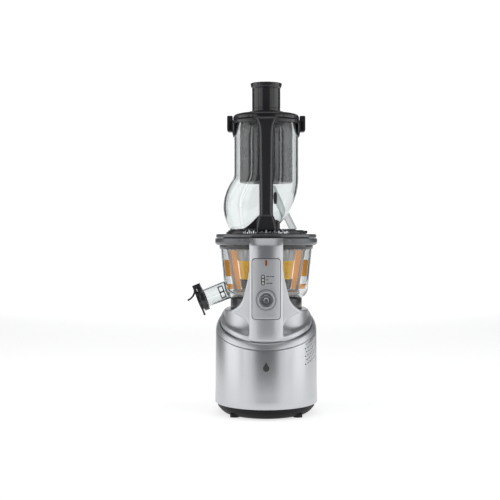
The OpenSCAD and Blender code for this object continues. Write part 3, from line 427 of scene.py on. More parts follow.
# Painted light: the golden strainer glows faintly (glow 0.2) so that it looks lit inside the glass bowl. It is no
# lamp.
GLOWING_GOLD = material("golden_strainer_painted_glow", (0.95, 0.52, 0.01), 0.45, grain=0.06, spread=0.06, specular=0.4, glow=0.2)
LENS = material("amber_lens", (0.34, 0.10, 0.008), 0.2, spread=0.06, coat=0.2)
WINDOW = material("smoked_window", (0.10, 0.10, 0.11), 0.15, spread=0.05, coat=0.5)
LIGHTS = material("milky_light", (0.70, 0.70, 0.70), 0.25, spread=0.03)
PRINT = material("printed_grey", (0.04, 0.04, 0.042), 0.5, spread=0.05)
STEEL = material("turned_steel", (0.55, 0.55, 0.56), 0.25, metallic=1.0, grain=0.08, grain_scale=300)
IRON = material("bare_iron", (0.18, 0.18, 0.19), 0.5, metallic=0.8, grain=0.3, grain_scale=700)
CAST = material("die_cast", (0.50, 0.51, 0.52), 0.42, metallic=0.9, grain=0.2, grain_scale=600)
ACETAL = material("natural_acetal", (0.74, 0.70, 0.60), 0.4, grain=0.05)
BRONZE = material("sintered_bronze", (0.50, 0.32, 0.14), 0.4, metallic=1.0, grain=0.25, grain_scale=1500)
BOARD = material("circuit_board", (0.03, 0.18, 0.08), 0.4, grain=0.1)

CAD_LOOKS = {
    "tray_screws": STEEL, "gear_screws": STEEL, "gear_pin": STEEL, "drive_shaft": STEEL, "motor_rotor": STEEL,
    "button_spring": STEEL, "idler_pin": STEEL, "handle_screws": STEEL, "motor_can": IRON, "gear_case": CAST,
    "gear_cover": CAST, "double_gear": ACETAL, "output_gear": ACETAL, "idler_gear": ACETAL, "auger_gear": ACETAL,
    "wiper_gear": ACETAL, "shaft_bush": BRONZE, "cooling_fan": BLACK, "control_board": BOARD, "power_board": BOARD,
    "shaft_seal": RUBBER, "bowl_seal": RUBBER, "lid_gasket": RUBBER, "foot_ring": RUBBER, "auger": DARK,
    "light_guides": LIGHTS, "light_window": WINDOW, "mode_lens": LENS, "cord_inlet": RUBBER, "pulp_plug": GLOWING_AMBER,
    "pulp_gate": DARK, "tap_seal": RUBBER, "rubber_feet": RUBBER, "wiper_blades": GLOWING_AMBER, "wiper_frame": GREY,
    "hopper_brace": CLEAR_RIB, "band_badge": PRINT, "base_tray": BLACK,
}
for node_name, look in CAD_LOOKS.items():
    mesh = NODES[node_name].data
    mesh.materials.clear()
    mesh.materials.append(look)


# ---------- Base ----------

def oval(inset, rise, sloped, count=256):
    """A ring round the base, drawn in by inset: level, or parallel to the sloping seam."""
    a, b = BASE_A - inset, BASE_B - inset
    ring = []
    for i in range(count):
        x, y = a * math.cos(TAU * i / count), b * math.sin(TAU * i / count)
        z = SEAM_Z + rise + math.tan(SEAM_SLOPE) * y if sloped else rise
        ring.append((x, y, min(z, SEAT_Z) if sloped else z))
    return ring


VENT_ROWS, VENTS_IN_ROW = 6, 6
VENT_START, VENT_STEP = -47, 4.6
VENT_DROP, VENT_PITCH = 26, 5
VENT_R = 1.15


def make_band():
    rings = [oval(0.8, SKIRT_TOP, False), oval(0.25, SKIRT_TOP + 0.3, False), oval(0, SKIRT_TOP + 1.2, False)]
    rings += [oval(BAND_TAPER * t, mix(SKIRT_TOP + 1.2, 60, t), False) for t in (0.2, 0.4)]
    rings += [oval(BAND_TAPER - 0.1, -1.2, True), oval(BAND_TAPER + 0.15, -0.4, True),
              oval(BAND_TAPER + 0.6, 0, True),
              oval(BAND_TAPER + 1.8, -0.2, True), oval(BAND_TAPER + 2.2, -4, True), oval(2.4, SKIRT_TOP, False)]
    band = loop_loft("band_skin", rings)
    holes = []
    for row in range(VENT_ROWS):
        for i in range(VENTS_IN_ROW):
            angle = math.radians(VENT_START + (i + (row % 2) / 2) * VENT_STEP)
            z = SEAM_Z + math.tan(SEAM_SLOPE) * BASE_B * math.sin(angle) - VENT_DROP + row * VENT_PITCH
            turn = Matrix.Translation(Vector((0, 0, z)) * MM) @ Matrix.Rotation(angle, 4, "Z") \
                @ Matrix.Rotation(math.pi / 2, 4, "Y")
            bore = [(0, BASE_A - 14), (VENT_R, BASE_A - 14), (VENT_R, BASE_A + 30), (0, BASE_A + 30)]
            holes.append(lathe("hole", bore, segments=16, turn=turn))
    cut(band, join("holes", holes))
    return finish_piece(band, "base", BRUSHED, ["brushed_band"], sharp=40)


def make_rim():
    rings = [oval(2.2, 0.5, True), oval(1.5, 0.8, True), oval(1.5, 1.6, True), oval(2.0, 3.2, True),
             oval(2.9, 5.2, True), oval(3.8, 6.9, True), oval(4.5, 7.7, True), oval(5.4, 8, True),
             oval(6.3, 7.8, True), oval(6.8, 7.2, True), oval(7.2, 3, True), oval(7.2, 0.5, True)]
    return finish_piece(loop_loft("rim_ring", rings), "base", TRIM, ["bevel_rim"], sharp=45)


def make_skirt():
    rings = [oval(24, 1.6, False), oval(18, 0.9, False), oval(14, 0.9, False), oval(11.4, 1.7, False),
             oval(8.4, 4.0, False), oval(5.4, 7.4, False), oval(3.4, 10.8, False), oval(2.3, SKIRT_TOP - 0.6, False),
             oval(2.6, SKIRT_TOP, False), oval(6, SKIRT_TOP, False), oval(22, 7.2, False)]
    skirt = loop_loft("skirt_moulding", rings)
    return finish_piece(skirt, "base", BLACK, sharp=50)


def shell_ring(t, count=256):
    """A ring of the dished seat: t 0 is the flange's top and 1 the round seat's edge."""
    out_ring, in_ring = oval(11.5, 15.6, True, count), []
    for i in range(count):
        angle = TAU * i / count
        in_ring.append((SEAT_R * math.cos(angle), SEAT_R * math.sin(angle), SEAT_Z - 1.2))
    ring = []
    for p, q in zip(out_ring, in_ring):
        sag = math.sin(math.pi * t) * 0.16 * max(0, q[2] - p[2])
        ring.append((mix(p[0], q[0], t), mix(p[1], q[1], t), mix(p[2], q[2], t) - sag))
    return ring


def round_ring(r, z, count=256):
    return [(r * math.cos(TAU * i / count), r * math.sin(TAU * i / count), z) for i in range(count)]


def make_dish():
    """Flange, dished surface and round seat, as one closed solid."""
    rings = [oval(7.6, 6, True), oval(7.4, 8.6, True), oval(7.2, 9.2, True), oval(7.3, 12.8, True),
             oval(7.9, 14.6, True), oval(9.2, 15.5, True), oval(10.4, 15.7, True)]
    rings += [shell_ring(t) for t in (0.03, 0.12, 0.25, 0.4, 0.55, 0.7, 0.82, 0.92, 1)]
    rings += [round_ring(r, z) for r, z in
              ((SEAT_R - 0.4, SEAT_Z - 0.4), (SEAT_R - 1.4, SEAT_Z), (NECK_R + 1.2, SEAT_Z),
               (NECK_R + 0.6, SEAT_Z - 0.2),
               (12, SEAT_Z - 0.2), (11, SEAT_Z - 2), (11, SEAT_Z - 5), (NECK_R, SEAT_Z - 5))]
    rings.append(oval(16, 4, True))
    return loop_loft("dish", rings)


TOWER_HALF_W = 21.7
WING_SET = 8.4
TOWER_BACK = -70.0
TOWER_FOOT_Z = 99.6
TOWER_BEVEL_Z = 222.6
FLARE = ((-22, 0), (-14, 3), (-9, 8), (-5, 15), (-2, 22), (0, 25), (2, 22.5), (4, 19.2), (6, 16.4), (8, 14.3),
         (14, 9.8),
         (20, 7.8), (26, 6.3), (43, 2.3), (56, 0.9), (70, 0))


def flare_at(z):
    """How far the tower stands out past its straight sides, at a height above the seat."""
    if z <= FLARE[0][0]:
        return FLARE[0][1]
    for (z0, w0), (z1, w1) in zip(FLARE, FLARE[1:]):
        if z <= z1:
            return mix(w0, w1, smooth_step((z - z0) / (z1 - z0)) * 0.4 + 0.6 * (z - z0) / (z1 - z0))
    return 0


def crown_at(x):
    """How far the tower's front falls back at a distance from its middle."""
    u = x / TOWER_HALF_W
    return 4.4 * u ** 2 + 3.4 * u ** 4


def column_section(z, cut_back=0.0):
    """The tower's column at a height: a crowned front, rounded corners and a flat back."""
    front = TOWER_FRONT + cut_back
    steps = 18
    points = [(TOWER_HALF_W * u, front + crown_at(TOWER_HALF_W * u))
              for u in (-1 + 2 * i / steps for i in range(steps + 1))]
    points += [(TOWER_HALF_W, TOWER_BACK), (-TOWER_HALF_W, TOWER_BACK)]
    radii = [0] * len(points)
    radii[0] = radii[steps] = 1.6
    return [(x, y, z) for x, y in soften(points, radii, 4)]


def wing_section(z):
    """The wings behind the column, sweeping out and back toward the seat."""
    spread = max(0, flare_at(z - SEAT_Z))
    half = TOWER_HALF_W - 0.6 + spread
    back = TOWER_BACK + min(18, spread * 1.3)
    steps = 24
    points = []
    for u in (-1 + 2 * i / steps for i in range(steps + 1)):
        out = max(0, abs(u) * half - TOWER_HALF_W + 2)
        points.append((u * half, min(back - 1.5, TOWER_FRONT + WING_SET + out * 0.5)))
    points += [(half, back), (half * 0.5, back), (0, back), (-half * 0.5, back), (-half, back)]
    return [(x, y, z) for x, y in points]


PANEL_FRONT = TOWER_FRONT - 0.1


def panel_y(x, lift=0.0):
    """The crowned front of the tower's panel, standing out by lift."""
    return PANEL_FRONT + crown_at(x) - lift


def divided(outline, step):
    """The same outline with its long sides cut into steps, so that it can follow a curve."""
    out = []
    for i, point in enumerate(outline):
        p, q = Vector(point), Vector(outline[(i + 1) % len(outline)])
        count = max(1, math.ceil((q - p).length / step))
        out += [tuple(p.lerp(q, k / count)) for k in range(count)]
    return out


def crowned_plate(name, outline, lift, thick, edge, x0=0.0, z0=0.0):
    """A plate following the crowned panel, with a rounded front edge."""
    outline = divided(outline, 1.6)
    cx = sum(x for x, _ in outline) / len(outline)
    cz = sum(z for _, z in outline) / len(outline)

    def ring(share, depth, inset):
        points = []
        for x, z in outline:
            px, pz = mix(cx, x, share), mix(cz, z, share)
            away = Vector((px - cx, pz - cz))
            if inset and away.length > inset:
                away -= away.normalized() * inset
            px, pz = cx + away.x + x0, cz + away.y + z0
            points.append((px, panel_y(px, lift - depth), pz))
        return points
    shares = (0.9, 0.75, 0.6, 0.45, 0.3, 0.15, 0.05)
    rings = [ring(s, thick, 0) for s in reversed(shares)]
    rings += [ring(1, thick, 0), ring(1, edge, 0), ring(1, edge * 0.3, edge * 0.3), ring(1, 0, edge)]
    rings += [ring(s, 0, 0) for s in shares]
    return loft(name, rings)


def make_shell():
    levels = [SEAT_Z + rise for rise in (-30, -24, -18, -13, -9, -6, -3, -1, 0, 1, 2, 4, 6, 8, 11, 14, 18, 23, 29, 36,
                                         44, 52, 62, 72, 82)]
    wings = loft("wings", [wing_section(z) for z in levels])
    column = [column_section(TOWER_FOOT_Z + rise, cut) for rise, cut in ((0, 2.2), (0.6, 0.9), (1.6, 0.25), (3, 0))]
    column += [column_section(z) for z in (110, 125, 140, 160, 180, 200, TOWER_BEVEL_Z)]
    column += [column_section(z, cut) for z, cut in ((TOWER_BEVEL_Z + 0.6, 0.4), (TOWER_BEVEL_Z + 9, 6.2),
                                                    (TOWER_TOP_Z, 7.4))]
    room = lathe("room", [(0, SEAT_Z), (NECK_R + 1.6, SEAT_Z), (NECK_R + 1.6, FLOOR_Z - 2),
                          (BOWL_FLOOR_R + 2.5, FLOOR_Z - 1.5), (BOWL_LOW_R + 2.2, FLOOR_Z + BOWL_ROUND_H - 2),
                          (COLLAR_R + 1, FLOOR_Z + BOWL_ROUND_H + 10),
                          (COLLAR_R + 1, TOWER_TOP_Z + 5), (0, TOWER_TOP_Z + 5)], 96)
    cut(wings, room)
    shell = join("shell_skin", [make_dish(), wings])
    remesh(shell, 0.9, 4)
    melt(shell, lambda p: smooth_step((-34 - p.y) / 6) * smooth_step((p.z - 98) / 8)
         * smooth_step((SEAT_Z + 16 - p.z) / 8), 50)
    finish_piece(shell, "base", SILVER, ["upper_shell"], sharp=60)

    tower = loft("tower_column", column)
    finish_piece(tower, "base", SILVER, sharp=40)
    half_h, mid = (FASCIA_HIGH.z - FASCIA_LOW.z) / 2, (FASCIA_HIGH.z + FASCIA_LOW.z) / 2
    # Painted shade: a thin black plate, just larger than the fascia, stands in for the shade in the groove round it.
    groove_shade = crowned_plate("fascia_groove_shade", rounded_rect(18.6, half_h + 0.4, 5.4, (0, mid), 10), 0.0, 1.0, 0.1)
    finish_piece(groove_shade, "base", BLACK, sharp=40)



make_band()
make_rim()
make_skirt()
make_shell()


# ---------- Front panel ----------

def across_y(name, outline, x, z, segments=96):
    """A turned shape about a line along Y. outline is (radius, distance toward the viewer from y 0)."""
    turn = Matrix.Translation(Vector((x, 0, z)) * MM) @ Matrix.Rotation(math.pi / 2, 4, "X")
    return lathe(name, outline, segments, turn=turn)


def make_fascia():
    half_h = (FASCIA_HIGH.z - FASCIA_LOW.z) / 2
    mid = (FASCIA_HIGH.z + FASCIA_LOW.z) / 2
    plate = crowned_plate("fascia_plate", rounded_rect(18.0, half_h - 0.2, 5, (0, mid), steps=10), 0.3, 1.9, 0.8)
    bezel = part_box("button_bezel")
    button_z = (bezel[0].z + bezel[1].z) / 2 / MM
    bezel_r = (bezel[1].x - bezel[0].x) / 2 / MM
    cut(plate, across_y("bore", [(0, 60), (bezel_r - 1.2, 60), (bezel_r - 1.2, 95), (0, 95)], 0, button_z))
    finish_piece(plate, "base", FASCIA, ["control_fascia"], sharp=40)

    face = -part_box("button_bezel")[0].y / MM
    outer = [(bezel_r, face - 3.5), (bezel_r, face - 0.9), (bezel_r - 0.5, face - 0.4), (bezel_r - 1.1, face - 0.5),
             (bezel_r - 1.3, face - 1.0), (bezel_r - 1.5, face - 1.0), (bezel_r - 1.9, face - 0.3),
             (bezel_r - 2.7, face), (bezel_r - 3.4, face - 0.3), (bezel_r - 4.0, face - 1.5), (8.1, face - 2.0),
             (7.9, face - 1.2), (7.65, face - 1.2), (7.6, face - 3.5)]
    finish_piece(across_y("bezel_ring", outer, 0, button_z), "base", FASCIA, ["button_bezel"], sharp=30)
    groove = [(bezel_r + 0.35, face - 3), (bezel_r + 0.35, face - 0.6), (bezel_r, face - 0.5),
              (bezel_r - 0.05, face - 3)]
    finish_piece(across_y("bezel_shadow_ring", groove, 0, button_z), "base", BLACK, sharp=30)

    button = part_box("start_button")
    front = -button[0].y / MM
    cap = [(0, front - 0.9), (2.2, front - 0.8), (3.0, front - 0.5), (3.3, front - 0.25), (3.7, front - 0.3),
           (5.2, front - 0.35), (6.2, front - 0.1), (6.7, front - 0.1), (7.1, front - 0.5), (7.25, front - 1.2),
           (7.25, front - 3.5), (0, front - 3.5)]
    button_piece = across_y("button_cap", list(reversed(cap)), 0, button_z)
    finish_piece(button_piece, "button", SPUN, ["start_button"], sharp=30)
    mark = [(1.55, front - 1.0), (1.55, front - 0.62), (1.15, front - 0.62), (1.15, front - 1.0)]
    finish_piece(across_y("button_mark", mark, 0, button_z, 48), "button", BRIGHT)


def make_window():
    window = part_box("light_window")
    cx, cz = [(window[0][i] + window[1][i]) / 2 / MM for i in (0, 2)]
    half_w, half_h = [(window[1][i] - window[0][i]) / 2 / MM for i in (0, 2)]
    plate = crowned_plate("window_plate", rounded_rect(half_w, half_h, half_w, (cx, cz), 8), 0.45, 1.2, 0.3)
    finish_piece(plate, "base", PRINT, ["light_window"])
    for i in (-1, 0, 1):
        outline = rounded_rect(1.25, 1.45, 0.8, (cx, cz + i * 4.2), 5)
        pane = crowned_plate("light_pane_%d" % (i + 2), outline, 0.6, 1.0, 0.2)
        finish_piece(pane, "base", LIGHTS, ["light_guides"] if i == 0 else ())
    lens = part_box("mode_lens")
    cx, cz = [(lens[0][i] + lens[1][i]) / 2 / MM for i in (0, 2)]
    half_w, half_h = [(lens[1][i] - lens[0][i]) / 2 / MM for i in (0, 2)]
    plate = crowned_plate("lens_bar", rounded_rect(half_w, half_h, half_w, (cx, cz), 8), 0.65, 1.4, 0.4)
    finish_piece(plate, "base", LENS, ["mode_lens"])
    bars = []
    for z, widths in ((183.4, (3.4, 2.2, 2.6)), (179.3, (2.6,)), (174.9, (3.0, 3.8))):
        x = 0.2
        for width in widths:
            bars.append(crowned_plate("bar", rounded_rect(width / 2, 0.55, 0.3, (x + width / 2, z), 3), 0.38, 0.2,
                                      0.04))
            x += width + 0.8
    finish_piece(join("print_marks", bars), "base", PRINT)


make_fascia()
make_window()


# ---------- Bowl and spout ----------

SPOUT_SLOPE = math.radians(21.5)
SPOUT_END = Vector((-87.2, 0, 149.35))
SPOUT_R = 12.6
SPOUT_REACH = 52
SPOUT_IN_R = 10.4


def spout_turn():
    """Turns a shape about Z so that it lies along the spout, running from its mouth back into the bowl."""
    return Matrix.Translation(SPOUT_END * MM) @ Matrix.Rotation(math.pi / 2 - SPOUT_SLOPE, 4, "Y")


def bowl_profile(wall):
    """The bowl's side from the middle of its floor to its rim, drawn in by wall."""
    points = [(0, FLOOR_Z + wall)]
    steps = 10
    for i in range(steps + 1):
        t = i / steps
        r = BOWL_FLOOR_R + (BOWL_LOW_R - BOWL_FLOOR_R) * math.sin(t * math.pi / 2) - wall
        rise = (BOWL_ROUND_H - wall) * (1 - math.cos(t * math.pi / 2))
        points.append((r - 6 * (1 - t) ** 3, FLOOR_Z + wall + rise))
    points.append((BOWL_TOP_R - wall, BOWL_TOP_Z - (0 if wall == 0 else -3)))
    return points


def make_bowl():
    outer = bowl_profile(0)
    inner = bowl_profile(BOWL_WALL)
    body = lathe("bowl_glass", [(0, FLOOR_Z)] + outer[1:] + [(0, BOWL_TOP_Z)], 160)
    inside = lathe("inside", inner + [(0, BOWL_TOP_Z + 3)], 160)
    tube = lathe("tube", [(0, -0.5), (SPOUT_R - 0.5, -0.5), (SPOUT_R, 0), (SPOUT_R, SPOUT_REACH), (0, SPOUT_REACH)],
                 64,
                 turn=spout_turn())
    cut(body, tube, "UNION")
    cut(body, inside)
    bore = lathe("bore", [(0, -4), (SPOUT_IN_R, -4), (SPOUT_IN_R, SPOUT_REACH - 2), (0, SPOUT_REACH - 2)], 64,
                 turn=spout_turn())
    cut(body, bore)
    hole = lathe("hole", [(0, FLOOR_Z - 2), (10.6, FLOOR_Z - 2), (10.6, FLOOR_Z + 6), (0, FLOOR_Z + 6)], 48)
    cut(body, hole)
    finish_piece(body, "bowl", CLEAR, ["bowl"], sharp=32)

    frame_outline = rounded_rect(3.6, 8.4, 0.6, (0, 0), 2)
    opening = rounded_rect(2.3, 3.0, 0.4, (0, 0), 2)
    frame_piece = slab("baffle_frame", frame_outline, -3.2, 3.2, "y", 0.3, 2)
    for z in (-3.9, 3.9):
        hole = slab("hole", [(x, y + z) for x, y in opening], -5, 5, "y", 0)
        cut(frame_piece, hole)
    frame_piece.data.transform(Matrix.Translation(Vector((-59.5, 0, 160)) * MM)
                               @ Matrix.Rotation(-SPOUT_SLOPE, 4, "Y"))
    finish_piece(frame_piece, "bowl", SMOKED, sharp=30)


def make_collar():
    band = [(BOWL_TOP_R - 1.5, BOWL_TOP_Z - 1.6), (BOWL_TOP_R + 0.4, BOWL_TOP_Z - 1.9),
            (BOWL_TOP_R + 1, BOWL_TOP_Z - 1),
            (BOWL_TOP_R + 1.2, BOWL_TOP_Z + 3.2), (BOWL_TOP_R - 1.5, BOWL_TOP_Z + 3.2)]
    finish_piece(lathe("collar_seat", band, 192), "bowl", DARK_GLOSS, sharp=40)
    low_z = BOWL_TOP_Z + 3.2
    ring = [(BOWL_TOP_R - 1, low_z), (COLLAR_R - 4.0, low_z), (COLLAR_R - 2.4, low_z + 0.5),
            (COLLAR_R - 0.9, low_z + 1.7),
            (COLLAR_R - 0.2, low_z + 3.3), (COLLAR_R, low_z + 5), (COLLAR_R, COLLAR_TOP_Z - 1.2),
            (COLLAR_R - 0.4, COLLAR_TOP_Z - 0.4), (COLLAR_R - 1.2, COLLAR_TOP_Z), (BOWL_TOP_R - 1, COLLAR_TOP_Z)]
    finish_piece(lathe("collar_ring", ring, 192), "bowl", SMOKED, ["bowl_collar"], sharp=50)


make_bowl()
make_collar()


# ---------- Copies of the frame's own shapes with their edges rounded ----------

def softened_copy(node, name, body, look, width, segments=2, angle=35):
    """A copy of a node with its edges rounded, standing in for it."""
    source = NODES[node]
    mesh = source.data.copy()
    mesh.transform(source.matrix_world)
    obj = bpy.data.objects.new(name, mesh)
    bpy.context.scene.collection.objects.link(obj)
    bm = bmesh.new()
    bm.from_mesh(mesh)
    bmesh.ops.remove_doubles(bm, verts=bm.verts, dist=2e-6)
    bmesh.ops.dissolve_limit(bm, angle_limit=math.radians(2), verts=bm.verts, edges=bm.edges)
    bm.to_mesh(mesh)
    bm.free()
    round_edges(obj, width, segments, angle)
    return finish_piece(obj, body, look, [node], sharp=40)


softened_copy("bowl_neck", "neck_moulding", "bowl", DARK, 0.6)
softened_copy("spout_collar", "spout_ring", "bowl", DARK_GLOSS, 0.6)
softened_copy("spout_tap", "tap_lever", "tap", DARK_GLOSS, 0.6)
softened_copy("wiper_frame", "wiper_cage", "wiper", GREY, 0.5)
softened_copy("wiper_blades", "wiper_lips", "wiper", GLOWING_AMBER, 0.4)


# ---------- Lid, hopper and handle ----------

def make_lid():
    flange = [(30, LID_Z + 0.6), (LID_R - 1.2, LID_Z), (LID_R - 0.3, LID_Z + 0.5), (LID_R, LID_Z + 1.4),
              (LID_R - 0.1, PLATE_Z - 1.0), (LID_R - 0.8, PLATE_Z - 0.2), (LID_R - 2.6, PLATE_Z),
              (LID_R - 5.5, PLATE_Z - 0.6), (PLATE_R + 2.5, PLATE_Z - 0.7), (PLATE_R + 1.6, PLATE_Z), (30, PLATE_Z)]
    disc = lathe("lid_disc", flange, 192)
    finish_piece(disc, "hopper", SMOKED, ["lid_flange"], sharp=40)
    spigot_r = BOWL_TOP_R - BOWL_WALL - 1.4
    foot = low("lid_flange").z
    spigot = [(spigot_r - 2.4, LID_Z + 0.8), (spigot_r - 2.4, foot + 0.4), (spigot_r - 2, foot),
              (spigot_r - 0.4, foot),
              (spigot_r, foot + 0.4), (spigot_r, LID_Z + 0.8)]
    finish_piece(lathe("lid_spigot", spigot, 160), "hopper", SMOKED, sharp=40)
    plate = [(9, PLATE_Z), (PLATE_R - 0.6, PLATE_Z), (PLATE_R, PLATE_Z + 0.7), (PLATE_R, PLATE_Z + 2.2),
             (PLATE_R - 0.5, PLATE_Z + 2.8), (PLATE_R - 2.2, PLATE_Z + 3), (PLATE_R - 2.6, PLATE_Z + 4.6),
             (PLATE_R - 3.4, HOPPER_Z - 0.1), (33, HOPPER_Z - 0.1), (9, HOPPER_Z - 0.1)]
    top = lathe("lid_plate", plate, 192)
    feed_r = THROAT_R - CHUTE_WALL
    feed = lathe("feed", [(0, PLATE_Z - 5), (feed_r, PLATE_Z - 5), (feed_r, HOPPER_Z + 5), (0, HOPPER_Z + 5)], 96,
                 (THROAT_X, 0))
    cut(top, feed)
    finish_piece(top, "hopper", DARK, ["hopper_plate"], sharp=40)
    lugs, rib_parts = [], []
    for i in range(-11, 12):
        turn = Matrix.Rotation(math.radians(i * 2.9), 4, "Z")
        tall = (4.4, 2.4, 3.6, 1.8)[i % 4]
        wide = (0.8, 1.3, 0.6)[i % 3]
        lug = slab("lug", rounded_rect(wide, tall / 2, 0.3, (0, PLATE_Z + 0.5 + tall / 2), 2), -1.3, 0.8, "y", 0.15,
                   1)
        lug.data.transform(turn @ Matrix.Translation(Vector((0, -PLATE_R - 0.3, 0)) * MM))
        lugs.append(lug)
        rib = slab("rib", rounded_rect(1.0, 0.8, 0.2, (0, HOPPER_Z + 0.6), 2), -1.6, 0.8, "y", 0.12, 1)
        rib.data.transform(Matrix.Rotation(math.radians(i * 4.4), 4, "Z")
                           @ Matrix.Translation(Vector((0, -PLATE_R + 4.5, 0)) * MM))
        rib_parts.append(rib)
    finish_piece(join("lock_lugs", lugs), "hopper", BRIGHT, sharp=30)
    finish_piece(join("plate_ribs", rib_parts), "hopper", SMOKED, sharp=30)
    arrow = slab("arrow", [(-1.8, PLATE_Z + 1.2), (1.8, PLATE_Z + 1.2), (0.3, PLATE_Z + 6.4), (-0.3, PLATE_Z + 6.4)],
                 -PLATE_R - 2.2, -PLATE_R - 1.4, "y", 0.2, 1)
    finish_piece(arrow, "hopper", LIGHTS, sharp=30)
    tab = slab("lid_tab", rounded_rect(5, (HOPPER_Z - PLATE_Z) / 2 - 0.8, 1, (0, (HOPPER_Z + PLATE_Z) / 2)),
               PLATE_R - 6,
               high("hopper_plate").x, "x", 0.5)
    finish_piece(tab, "hopper", DARK)


BELLY_H = 70.0
BELLY_OUT = 14.4
THROAT_X = -20.2
THROAT_R = 29.6
CHUTE_WALL = 3.0


def belly(t):
    """The hopper's reach left, right and front at a share of its bulge's height."""
    left = CHUTE_R + BELLY_OUT * math.sin(math.pi * min(1, (t + 0.1) / 1.1)) ** 0.8 if t < 1 else CHUTE_R
    right = THROAT_R + THROAT_X + (CHUTE_R - THROAT_R - THROAT_X) * math.sin(math.pi / 2 * min(1, t) ** 0.8)
    depth = THROAT_R + (CHUTE_R - THROAT_R) * math.sin(math.pi / 2 * min(1, t))
    return left, right, depth


def belly_smooth(z):
    """The same reach, averaged a little up and down so that the bulge runs softly into the chute."""
    reach = 4.0
    total = [0.0, 0.0, 0.0]
    steps = 8
    for k in range(-steps, steps + 1):
        zz = min(CHUTE_TOP_Z, max(HOPPER_Z, z + reach * k / steps * min(1, (z - HOPPER_Z) / 6)))
        values = belly((zz - HOPPER_Z) / BELLY_H)
        total = [a + b for a, b in zip(total, values)]
    return [v / (2 * steps + 1) for v in total]


def hopper_ring(z, wall, count=128):
    left, right, depth = belly_smooth(z)
    return [((right - left) / 2 + ((right + left) / 2 - wall) * math.cos(TAU * i / count),
             (depth - wall) * math.sin(TAU * i / count), z) for i in range(count)]


def make_hopper():
    levels = [HOPPER_Z + 2.2 * i for i in range(36)]
    levels += [HOPPER_Z + 80, HOPPER_Z + 100, HOPPER_Z + 120, CHUTE_TOP_Z - 0.6]
    outer = [hopper_ring(z, 0) for z in levels] + [hopper_ring(CHUTE_TOP_Z, 0.5)]
    inner = [hopper_ring(CHUTE_TOP_Z, CHUTE_WALL - 0.5)] + [hopper_ring(z, CHUTE_WALL) for z in reversed(levels)]
    finish_piece(loop_loft("hopper_glass", outer + inner), "hopper", CLEAR, ["hopper_shell"], sharp=60)

    foot, head = Vector((37.6, 31.5, HOPPER_Z)), Vector((7.8, CHUTE_R + 1.2, HOPPER_Z + 60))
    along = (head - foot).normalized()
    side = along.cross(Vector((0, 1, 0))).normalized()
    front = side.cross(along).normalized()
    section = soften([(-5.4, -1.3), (5.4, -1.3), (5.4, 1.3), (2.9, 1.3), (2.9, 0.4), (-2.9, 0.4), (-2.9, 1.3),
                      (-5.4, 1.3)], 0.4, 2)
    rings = []
    for t, size in ((0, 0.92), (0.02, 1), (0.98, 1), (1, 0.9)):
        centre = foot.lerp(head, t)
        rings.append([tuple(centre + side * (u * size) + front * (v * size)) for u, v in section])
    for ring in rings[:2]:
        ring[:] = [(x, y, max(z, HOPPER_Z)) for x, y, z in ring]
    finish_piece(loft("brace_bar", rings), "hopper", CLEAR_RIB, ["hopper_brace"], sharp=30)
    knuckle = lathe("brace_knuckle", soften([(0, 277), (1.8, 277), (2.6, 281), (2.6, 288), (1.6, 292), (0, 293)],
                                            [0, 0.8, 0.8, 0.8, 0.8, 0], 3), 48, (12.0, -40.5))
    finish_piece(knuckle, "hopper", DARK, sharp=40)


EAR_IN_X = 42.5
EAR_LOW_Z = 374.6
EAR_HALF_D = 7.5


def make_chute_collar():
    z1 = CHUTE_TOP_Z - 0.4
    ring = [(CHUTE_R + 0.05, z1 - 4.6), (CHUTE_R + 1.6, z1 - 4.4), (high("pusher_cover").x + 1.2, z1 - 3.2),
            (high("pusher_cover").x + 1.7, z1 - 0.8), (high("pusher_cover").x + 1.2, z1), (CHUTE_R + 0.05, z1)]
    parts = [lathe("collar_band", ring, 160)]
    outer = soften([(EAR_IN_X, EAR_LOW_Z), (EAR_X - 0.1, EAR_LOW_Z), (EAR_X - 0.1, EAR_TOP_Z - 0.2),
                    (EAR_IN_X + 2.6, EAR_TOP_Z - 0.2), (EAR_IN_X + 2.2, 390), (EAR_IN_X + 1.7, 389)],
                   [0, 3.4, 2.0, 1.0, 0.5, 0], 5)
    hole = soften([(46.4, 377.6), (49.4, 377.6), (49.4, 388.4), (46.4, 388.4)], [0.8, 2.0, 1.2, 0.8], 4)
    lug = soften([(CHUTE_R + 0.1, 390), (CHUTE_R + 0.1, 368.5), (CHUTE_R + 1.0, 368), (CHUTE_R + 2.8, 377),
                  (CHUTE_R + 2.8, 390)], 0.4, 2)
    for mirror in (1, -1):
        loop = slab("loop", [(x * mirror, z) for x, z in outer], -EAR_HALF_D, EAR_HALF_D, "y", 0.7, 3)
        for near, far in ((-12, -1.6), (1.6, 12)):
            cut(loop, slab("slot", [(x * mirror, z) for x, z in hole], near, far, "y", 0))
        parts.append(loop)
        rings = []
        for angle in (-16, -12, 0, 12, 16):
            turn = Matrix.Rotation(math.radians(angle), 3, "Z")
            shrink, squash = (0.4, 0.9) if abs(angle) == 16 else (1, 1)
            rings.append([tuple(turn @ Vector((mix(CHUTE_R + 0.1, x, shrink) * mirror, 0, mix(386, z, squash))))
                          for x, z in lug])
        parts.append(loft("lug", rings))
    finish_piece(join("chute_ring", parts), "hopper", DARK_GLOSS, ["chute_collar"], sharp=40)


